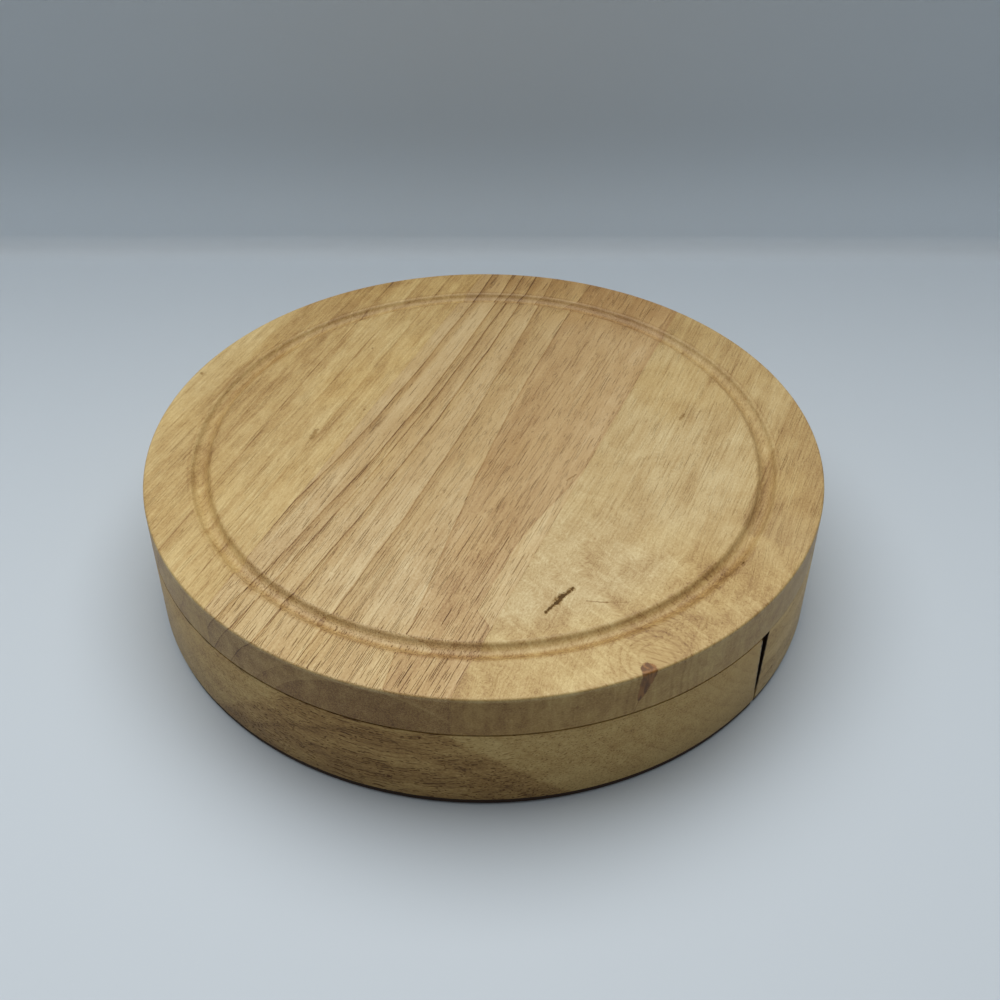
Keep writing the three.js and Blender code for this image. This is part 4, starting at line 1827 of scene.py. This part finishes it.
@dataclass
class Tray(BasePart):
    """The swinging part of the base, with its wells, its finger trough and its floor."""

    well_names: tuple[str, ...] = ("knife_well", "fork_well", "chisel_well")
    well_width: float = 22 * MM
    well_corner: float = 6 * MM
    well_rib: float = 4 * MM
    parting_wall: float = 6 * MM
    rim_wall: float = 10 * MM
    pivot_wall: float = 17 * MM
    trough_width: float = 26 * MM
    trough_depth: float = 13 * MM
    trough_corner: float = 7 * MM
    trough_from_end: float = 37 * MM
    bush_bore: float = 5.15 * MM
    counterbore: float = 9.5 * MM
    counterbore_top: float = 7.05 * MM
    slip_seat: float = 8.15 * MM
    slip_seat_depth: float = 0.9 * MM
    edge_ease: float = 0.6 * MM
    seam_ease: float = 0.16 * MM
    corner_steps: int = 10

    def wells(self) -> list[tuple[float, float, float]]:
        """Gives each well's left end, right end and middle line.

        Returns:
            The wells in order.
        """
        made = []
        for index in range(len(self.well_names)):
            half = self.well_width / 2
            y = self.plan.parting - self.parting_wall - half - index * (self.well_width + self.well_rib)
            corner_y = abs(y) + half - self.well_corner
            reach = self.plan.radius - self.rim_wall - self.well_corner
            right = math.sqrt(reach**2 - corner_y**2) + self.well_corner
            made.append((max(self.plan.pivot[0] + self.pivot_wall, -right), right, y))
        return made

    def rounded(self, left: float, right: float, low: float, high: float, corner: float) -> list[Point]:
        """Gives a rectangle with round corners.

        Args:
            left: Its left side.
            right: Its right side.
            low: Its lower side.
            high: Its upper side.
            corner: The radius of its corners.

        Returns:
            Its points in order.
        """
        centres = [
            (right - corner, high - corner),
            (left + corner, high - corner),
            (left + corner, low + corner),
            (right - corner, low + corner),
        ]
        points = []
        for turn, centre in enumerate(centres):
            points += arc(centre, corner, turn * QUARTER_TURN, (turn + 1) * QUARTER_TURN, self.corner_steps)
        return points

    def cutters(self) -> list[bpy.types.Object]:
        """Makes what is cut out of the tray.

        Returns:
            The cutters.
        """
        plan = self.plan
        foot, head = plan.panel_top - OVERCUT, plan.tray_top + OVERCUT
        wells = self.wells()
        half = self.well_width / 2
        made = [
            prism(name, self.rounded(left, right, y - half, y + half, self.well_corner), foot, head)
            for name, (left, right, y) in zip(self.well_names, wells)
        ]
        middle = wells[-1][1] - self.trough_from_end
        trough = self.rounded(
            middle - self.trough_width / 2,
            middle + self.trough_width / 2,
            plan.tray_top - self.trough_depth,
            plan.tray_top + self.trough_depth,
            self.trough_corner,
        )
        across = Matrix(((1, 0, 0, 0), (0, 0, 1, 0), (0, 1, 0, 0), (0, 0, 0, 1)))
        inside = self.well_corner
        return [
            *made,
            prism("finger_trough", trough, wells[-1][2] + inside, wells[0][2] - inside, across),
            plan.parting_cutter(Side.TRAY, plan.tray_top),
            plan.bore("bush_hole", self.bush_bore, foot, head),
            plan.bore("head_hole", self.counterbore, foot, self.counterbore_top),
            plan.bore("slip_hole", self.slip_seat, plan.tray_top - self.slip_seat_depth, head),
        ]

    def _edge_share(self, middle: Vector) -> float:
        """Gives the share of the ease that an edge gets: little round the seam and at the floor."""
        at_floor = middle.z < self.plan.panel_top + TOUCHING
        return self.seam_ease / self.edge_ease if at_floor or self.plan.near_rim(middle) else 1.0

    def build(self, wood: BaseWood, hardboard: Hardboard) -> None:
        """Makes the tray and its floor and hands them over.

        Args:
            wood: The tray's wood.
            hardboard: The floor's finish.
        """
        plan = self.plan
        tray = prism("swing_tray", plan.outline(Side.TRAY), plan.panel_top, plan.tray_top)
        combine(tray, self.cutters())
        ease(tray, self.edge_ease, self._edge_share)
        hand_over(tray, "tray_body", Body.TRAY, wood, self.crease)
        floor = prism("swing_tray_floor", plan.outline(Side.TRAY, self.panel_inset), 0.0, plan.panel_top)
        combine(floor, [plan.bore("floor_hole", self.counterbore, -OVERCUT, plan.panel_top + OVERCUT)])
        self.add_floor(floor, "tray_panel", Body.TRAY, hardboard)


@dataclass
class PivotHardware:
    """The bolt, its washers, the bush and the insert on the pivot's axis."""

    plan: Round
    bore: float = 3.15 * MM
    bolt_radius: float = 3 * MM
    socket_radius: float = 2.9 * MM
    socket_depth: float = 2.2 * MM
    knurls: int = 30
    knurl_depth: float = 0.12 * MM
    edge_ease: float = 0.25 * MM
    head_ease: float = 0.5 * MM
    tip_ease: float = 0.4 * MM
    flange_width: float = 1.5 * MM
    flange_thickness: float = 1 * MM
    segments: int = 64
    knurl_segments: int = 6
    bolt_crease: float = 30.0
    ring_crease: float = 35.0

    def _stand(self, piece: bpy.types.Object) -> bpy.types.Object:
        """Moves a turned piece from the origin to the pivot's axis."""
        piece.data.transform(Matrix.Translation((*self.plan.pivot, 0.0)))
        return piece

    def sleeve(self, node: str) -> list[Point]:
        """Gives the section of a plain ring that fills a node's box.

        Args:
            node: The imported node.

        Returns:
            The section's points in order.
        """
        low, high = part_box(node)
        radius = (high.x - low.x) / 2
        ease_width = min(self.edge_ease, (high.z - low.z) / 4)
        square = [(self.bore, low.z), (radius, low.z), (radius, high.z), (self.bore, high.z)]
        return self._closed(square, ease_width)

    @staticmethod
    def _closed(corners: list[Point], reach: float) -> list[Point]:
        """Rounds every corner of a closed section."""
        triples = [(x, z, reach) for x, z in corners]
        return softened([triples[-1], *triples, triples[0]])[1:-1]

    def insert_section(self) -> list[Point]:
        """Gives the section of the flanged insert.

        Returns:
            The section's points in order.
        """
        low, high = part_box("pivot_insert")
        flange = (high.x - low.x) / 2
        sleeve, flange_top = flange - self.flange_width, low.z + self.flange_thickness
        corners = [
            (self.bore, low.z),
            (flange, low.z),
            (flange, flange_top),
            (sleeve, flange_top),
            (sleeve, high.z),
            (self.bore, high.z),
        ]
        return self._closed(corners, self.edge_ease)

    def bolt(self, lathe: Lathe, steel: bpy.types.Material) -> bpy.types.Object:
        """Turns the bolt, with a knurled head and a six-sided socket.

        Args:
            lathe: The lathe.
            steel: Its material.

        Returns:
            The bolt.
        """
        low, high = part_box("pivot_bolt")
        head = (high.x - low.x) / 2
        head_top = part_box("head_washer")[0].z
        corners = [
            (0.0, low.z, 0.0),
            (head - self.knurl_depth, low.z, self.head_ease),
            (head - self.knurl_depth, head_top, self.edge_ease),
            (self.bolt_radius, head_top, 0.0),
            (self.bolt_radius, high.z, self.tip_ease),
            (0.0, high.z, 0.0),
        ]
        knurl_from = head - self.knurl_depth * 1.5
        flutes = (self.knurls, self.knurl_depth, knurl_from)
        segments = self.knurls * self.knurl_segments
        bolt = self._stand(lathe.turn("socket_bolt", softened(corners), steel, segments, flutes))
        plan = arc(self.plan.pivot, self.socket_radius, 0.0, FULL_TURN, 6)[:-1]
        return combine(bolt, [prism("hex_socket", plan, low.z - OVERCUT, low.z + self.socket_depth)])

    def build(self, lathe: Lathe, steel: Metal, brass: Metal, nylon: Nylon) -> None:
        """Turns the hardware and hands it over.

        Args:
            lathe: The lathe.
            steel: The bolt's and washer's finish.
            brass: The bush's and insert's finish.
            nylon: The slip washer's finish.
        """
        hand_over(self.bolt(lathe, steel.material), "pivot_bolt", Body.BOARD, steel, self.bolt_crease)
        rings = (
            ("bolt_washer", "head_washer", Body.BOARD, steel, self.sleeve("head_washer")),
            ("flanged_insert", "pivot_insert", Body.BOARD, brass, self.insert_section()),
            ("swivel_bush", "pivot_bush", Body.TRAY, brass, self.sleeve("pivot_bush")),
            ("seam_washer", "slip_washer", Body.TRAY, nylon, self.sleeve("slip_washer")),
        )
        for name, node, body, finish, section in rings:
            ring = lathe.turn(name, section, finish.material, self.segments, closed=True)
            hand_over(self._stand(ring), node, body, finish, self.ring_crease)


class BladeForm(Enum):
    """The three blades of the set, each with the name of its body."""

    KNIFE = "knife"
    FORK = "fork"
    CHISEL = "chisel"


@dataclass
class CheeseTool:
    """One tool: a turned handle, a steel bolster and a ground blade, lying along X in its well."""

    form: BladeForm
    neck: float = 5.6 * MM
    butt_length: float = 6 * MM
    tang_radius: float = 2 * MM
    tang_depth: float = 26 * MM
    tang_clearance: float = 0.15 * MM
    bolster_tip: float = 4 * MM
    bolster_ease: float = 0.5 * MM
    blade_thickness: float = 1.4 * MM
    edge_thickness: float = 0.4 * MM
    bevel_width: float = 1 * MM
    flat_normal: float = 0.9
    shoulder: float = 9 * MM
    point_length: float = 38 * MM
    slot_length: float = 38 * MM
    slot_half: float = 3.5 * MM
    prong_point: float = 12 * MM
    chisel_neck: float = 16 * MM
    neck_ease: float = 0.3 * MM
    bolster_bend: float = 1.4 * MM
    steps: int = 24
    tang_steps: int = 32
    segments: int = 72
    turned_crease: float = 40.0
    blade_crease: float = 20.0

    def __post_init__(self) -> None:
        """Reads the handle's and blade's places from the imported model."""
        self.body = Body(self.form.value)
        low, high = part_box(f"{self.form.value}_handle")
        self.handle_length = high.x - low.x
        self.handle_radius = (high.z - low.z) / 2
        self.origin = Vector((low.x, (low.y + high.y) / 2, (low.z + high.z) / 2))
        self.bolster_front = self.origin.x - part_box(f"{self.form.value}_bolster")[0].x
        blade_low, blade_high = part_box(f"{self.form.value}_blade")
        self.blade_start = -self.bolster_front - self.tang_clearance
        self.blade_length = self.origin.x + self.blade_start - blade_low.x
        self.half_width = (blade_high.y - blade_low.y) / 2

    def _lay(self, piece: bpy.types.Object) -> bpy.types.Object:
        """Lays a piece that was turned upright along X, in the tool's place."""
        piece.data.transform(Matrix.Translation(self.origin) @ Matrix.Rotation(QUARTER_TURN, 4, "Y"))
        return piece

    def handle_profile(self) -> list[Point]:
        """Gives the handle's profile, from the foot of its bore to its butt.

        Returns:
            The points in order.
        """
        bore = self.tang_radius + self.tang_clearance
        depth = self.tang_depth + self.tang_clearance
        swell_end = self.handle_length - self.butt_length
        swell = bezier(
            [
                (self.neck, 0.0),
                (self.neck, swell_end / 2),
                (self.handle_radius, swell_end / 2),
                (self.handle_radius, swell_end),
            ],
            self.steps,
        )
        butt = [
            (self.handle_radius * math.cos(a), swell_end + self.butt_length * math.sin(a))
            for a in (QUARTER_TURN * step / self.steps for step in range(1, self.steps))
        ]
        start = softened([(bore, 0.0, 0.0), (self.neck, 0.0, self.neck_ease), (*swell[1], 0.0)])
        return [(0.0, depth), (bore, depth), *start, *swell[2:], *butt, (0.0, self.handle_length)]

    def bolster_section(self) -> list[Point]:
        """Gives the bolster's section.

        Returns:
            The points in order.
        """
        bore = self.tang_radius + self.tang_clearance
        front, back = -self.bolster_front, -self.tang_clearance
        corners = [
            (bore, back, 0.0),
            (bore, front, 0.0),
            (self.bolster_tip, front, self.bolster_ease),
            (self.neck, front / 2, self.bolster_bend),
            (self.neck, back, self.bolster_ease),
            (bore, back, 0.0),
        ]
        return softened(corners)[:-1]

    def half_outline(self) -> list[Point]:
        """Gives the upper half of the blade's outline, from the bolster to the middle line.

        Returns:
            The points in order, with the bolster at the origin.
        """
        half, end = self.half_width, -self.blade_length
        tip = self.bolster_tip
        widening = -self.shoulder / 2
        shoulder = [(0.0, tip), (widening, tip), (widening, half), (-self.shoulder, half)]
        shoulder = bezier(shoulder, self.steps)
        if self.form is BladeForm.KNIFE:
            reach = self.point_length
            point = [(end + reach, half), (end + reach / 2, half), (end + reach / 4, half / 2), (end, 0.0)]
            return shoulder + bezier(point, self.steps)
        if self.form is BladeForm.FORK:
            root = end + self.slot_length
            round_root = arc((root - self.slot_half, 0.0), self.slot_half, QUARTER_TURN, 0.0, self.steps // 2)
            prong = [
                (end + self.prong_point, half),
                (end, (half + self.slot_half) / 2),
                (end + self.prong_point, self.slot_half),
            ]
            return shoulder + prong + round_root
        flare_from = -self.chisel_neck
        flare_to = (flare_from + end) / 2
        flare = bezier([(flare_from, tip), (flare_to, tip), (flare_to, half), (end, half)], self.steps)
        return [(0.0, tip), *flare, (end, 0.0)]

    def blade(self) -> bpy.types.Object:
        """Makes the ground blade with its tang.

        Returns:
            The blade.
        """
        upper = self.half_outline()
        lower = [(x, -y) for x, y in reversed(upper) if y > 0]
        outline = [(x + self.blade_start, y) for x, y in upper + lower]
        half_edge = self.edge_thickness / 2
        blade = prism(f"{self.form.value}_steel", outline, -half_edge, half_edge)
        rise = (self.blade_thickness - self.edge_thickness) / 2
        with shaping(blade.data) as shape:
            for flat in [face for face in shape.faces if abs(face.normal.z) > self.flat_normal]:
                bmesh.ops.inset_region(
                    shape, faces=[flat], thickness=self.bevel_width, depth=rise, use_even_offset=True
                )
        tang_foot = self.blade_start - self.shoulder / 2
        tang_plan = arc((0.0, 0.0), self.tang_radius, 0.0, FULL_TURN, self.tang_steps)[:-1]
        upright_to_x = Matrix.Rotation(QUARTER_TURN, 4, "Y")
        combine(blade, [prism("tang", tang_plan, tang_foot, self.tang_depth, upright_to_x)], Join.MERGE)
        blade.data.transform(Matrix.Translation(self.origin))
        return blade

    def build(self, lathe: Lathe, wood: HandleWood, steel: Metal) -> None:
        """Makes the tool and hands its pieces over.

        Args:
            lathe: The lathe.
            wood: The handle's wood.
            steel: The bolster's and blade's finish.
        """
        name = self.form.value
        turned = (
            ("grip", "handle", self.handle_profile(), wood, False),
            ("collar", "bolster", self.bolster_section(), steel, True),
        )
        for piece_name, part, profile, finish, closed in turned:
            piece = lathe.turn(f"{name}_{piece_name}", profile, finish.material, self.segments, closed=closed)
            hand_over(self._lay(piece), f"{name}_{part}", self.body, finish, self.turned_crease)
        hand_over(self.blade(), f"{name}_blade", self.body, steel, self.blade_crease)


@dataclass
class Studio:
    """The pale sweep, the soft lamps and the camera."""

    view_heading: float = 53.45
    camera_back: float = 0.293776
    camera_height: float = 0.266905
    camera_pan: float = -0.878
    camera_tilt: float = 49.789
    camera_roll: float = 0.486
    lens: float = 47.10
    sensor: float = 36.0
    near: float = 0.01
    wall_distance: float = 0.178
    sweep_radius: float = 0.008
    floor_reach: float = 2.0
    floor_lift: float = 0.1 * MM
    wall_height: float = 0.3
    half_width: float = 2.0
    bend_steps: int = 24
    lamp_offset: Point = (-0.1, 0.34)
    lamp_height: float = 0.86
    lamp_size: tuple[float, float] = (1.2, 1.0)
    lamp_power: float = 12.0
    sky_colour: Colour = tint(184, 188, 191)
    sky_light: float = 0.32
    sky_seen: float = 0.4
    sky_mirrored: float = 0.2

    def turned(self) -> Matrix:
        """Gives the turn from the view's own axes, with Y away from the camera, to the frame."""
        return Matrix.Rotation(math.radians(self.view_heading), 4, "Z")

    def add_camera(self) -> None:
        """Adds the camera at the photograph's viewing angle."""
        data = bpy.data.cameras.new("camera")
        data.lens = self.lens
        data.sensor_width = self.sensor
        data.clip_start = self.near
        camera = bpy.data.objects.new("camera", data)
        place = self.turned() @ Matrix.Translation((0.0, -self.camera_back, self.camera_height))
        aim = Matrix.Rotation(math.radians(self.camera_pan), 4, "Z")
        aim = aim @ Matrix.Rotation(math.radians(self.camera_tilt), 4, "X")
        camera.matrix_world = place @ aim @ Matrix.Rotation(math.radians(self.camera_roll), 4, "Z")
        bpy.context.scene.collection.objects.link(camera)
        bpy.context.scene.camera = camera

    def add_sweep(self) -> None:
        """Adds the paper: a floor that curves up into a wall."""
        bend_middle = (self.wall_distance - self.sweep_radius, self.sweep_radius)
        bend = arc(bend_middle, self.sweep_radius, -QUARTER_TURN, 0.0, self.bend_steps)
        line = [(-self.floor_reach, 0.0), *bend, (self.wall_distance, self.wall_height)]
        mesh = bpy.data.meshes.new("paper_sweep")
        with shaping(mesh) as shape:
            ends = (-self.half_width, self.half_width)
            sides = [[shape.verts.new((x, y, z)) for y, z in line] for x in ends]
            for low in range(len(line) - 1):
                shape.faces.new((sides[0][low], sides[1][low], sides[1][low + 1], sides[0][low + 1]))
            shape.transform(self.turned() @ Matrix.Translation((0.0, 0.0, self.floor_lift)))
        mesh.shade_smooth()
        mesh.materials.append(SweepPaper().material())
        show("paper_sweep", mesh)

    def add_lamp(self, name: str, offset: Point, height: float) -> None:
        """Adds a soft rectangular lamp that shines straight at the floor.

        Args:
            name: Its name.
            offset: Its place on the floor, along the view's own axes.
            height: Its height over the floor, less than 0 for a lamp below.
        """
        data = bpy.data.lights.new(name, "AREA")
        data.shape = "RECTANGLE"
        data.size, data.size_y = self.lamp_size
        data.energy = self.lamp_power
        lamp = bpy.data.objects.new(name, data)
        aim = Vector((0.0, 0.0, -height)).to_track_quat("-Z", "Y").to_matrix().to_4x4()
        lamp.matrix_world = self.turned() @ Matrix.Translation((*offset, height)) @ aim
        bpy.context.scene.collection.objects.link(lamp)

    def add_light(self) -> None:
        """Adds the lamps and a dim even sky."""
        self.add_lamp("overhead", self.lamp_offset, self.lamp_height)
        self.add_lamp("underneath", (0.0, 0.0), -self.lamp_height)
        world = bpy.data.worlds.new("studio")
        world.use_nodes = True
        bpy.context.scene.world = world
        sheet = Sheet(world.node_tree)
        path = sheet.add("ShaderNodeLightPath")
        seen = sheet.value(path, "Is Camera Ray") * self.sky_seen
        mirrored = sheet.value(path, "Is Glossy Ray") * self.sky_mirrored
        sky = world.node_tree.nodes["Background"]
        sheet.feed(sky.inputs["Color"], self.sky_colour)
        sheet.feed(sky.inputs["Strength"], seen + mirrored + self.sky_light)

    def build(self) -> None:
        """Sets up the view, the stage and the light."""
        bpy.context.scene.view_settings.view_transform = "Standard"
        self.add_camera()
        self.add_sweep()
        self.add_light()
        LOG.info("studio: sweep, lamps and camera")


def main() -> None:
    """Builds the board, its base, its hardware, its tools and the studio."""
    logging.basicConfig(level=logging.INFO, format="%(name)s %(message)s")
    plan = Round()
    lathe = Lathe()
    steel = Metal(Slot.STEEL, "brushed_steel", metal=1.0)
    turned_steel = Metal(Slot.STEEL, "turned_steel", metal=1.0, lay=Lay.ROUND, centre=plan.pivot)
    brass = Metal(
        Slot.BRASS,
        "turned_brass",
        metal=1.0,
        colour=tint(201, 164, 88),
        shade=tint(172, 134, 64),
        lay=Lay.ROUND,
        centre=plan.pivot,
    )
    hardboard = Hardboard(Slot.HARDBOARD, "pressed_hardboard", gloss=0.35)
    Studio().build()
    TopBoard(plan).build(lathe, BoardWood(Slot.BOARD_WOOD, "board_wood", gloss=0.32, heading=120.25))
    FixedBase(plan).build(
        BaseWood(Slot.BASE_WOOD, "glued_base_wood", gloss=0.2, heading=104.0, brown_from=150.0),
        hardboard,
    )
    Tray(plan).build(BaseWood(Slot.BASE_WOOD, "tray_wood", gloss=0.2, heading=35.95), hardboard)
    PivotHardware(plan).build(lathe, turned_steel, brass, Nylon(Slot.NYLON, "natural_nylon"))
    handle_wood = HandleWood(Slot.HANDLE_WOOD, "handle_wood", gloss=0.25)
    for form in BladeForm:
        CheeseTool(form).build(lathe, handle_wood, steel)


if __name__ == "__main__":
    main()
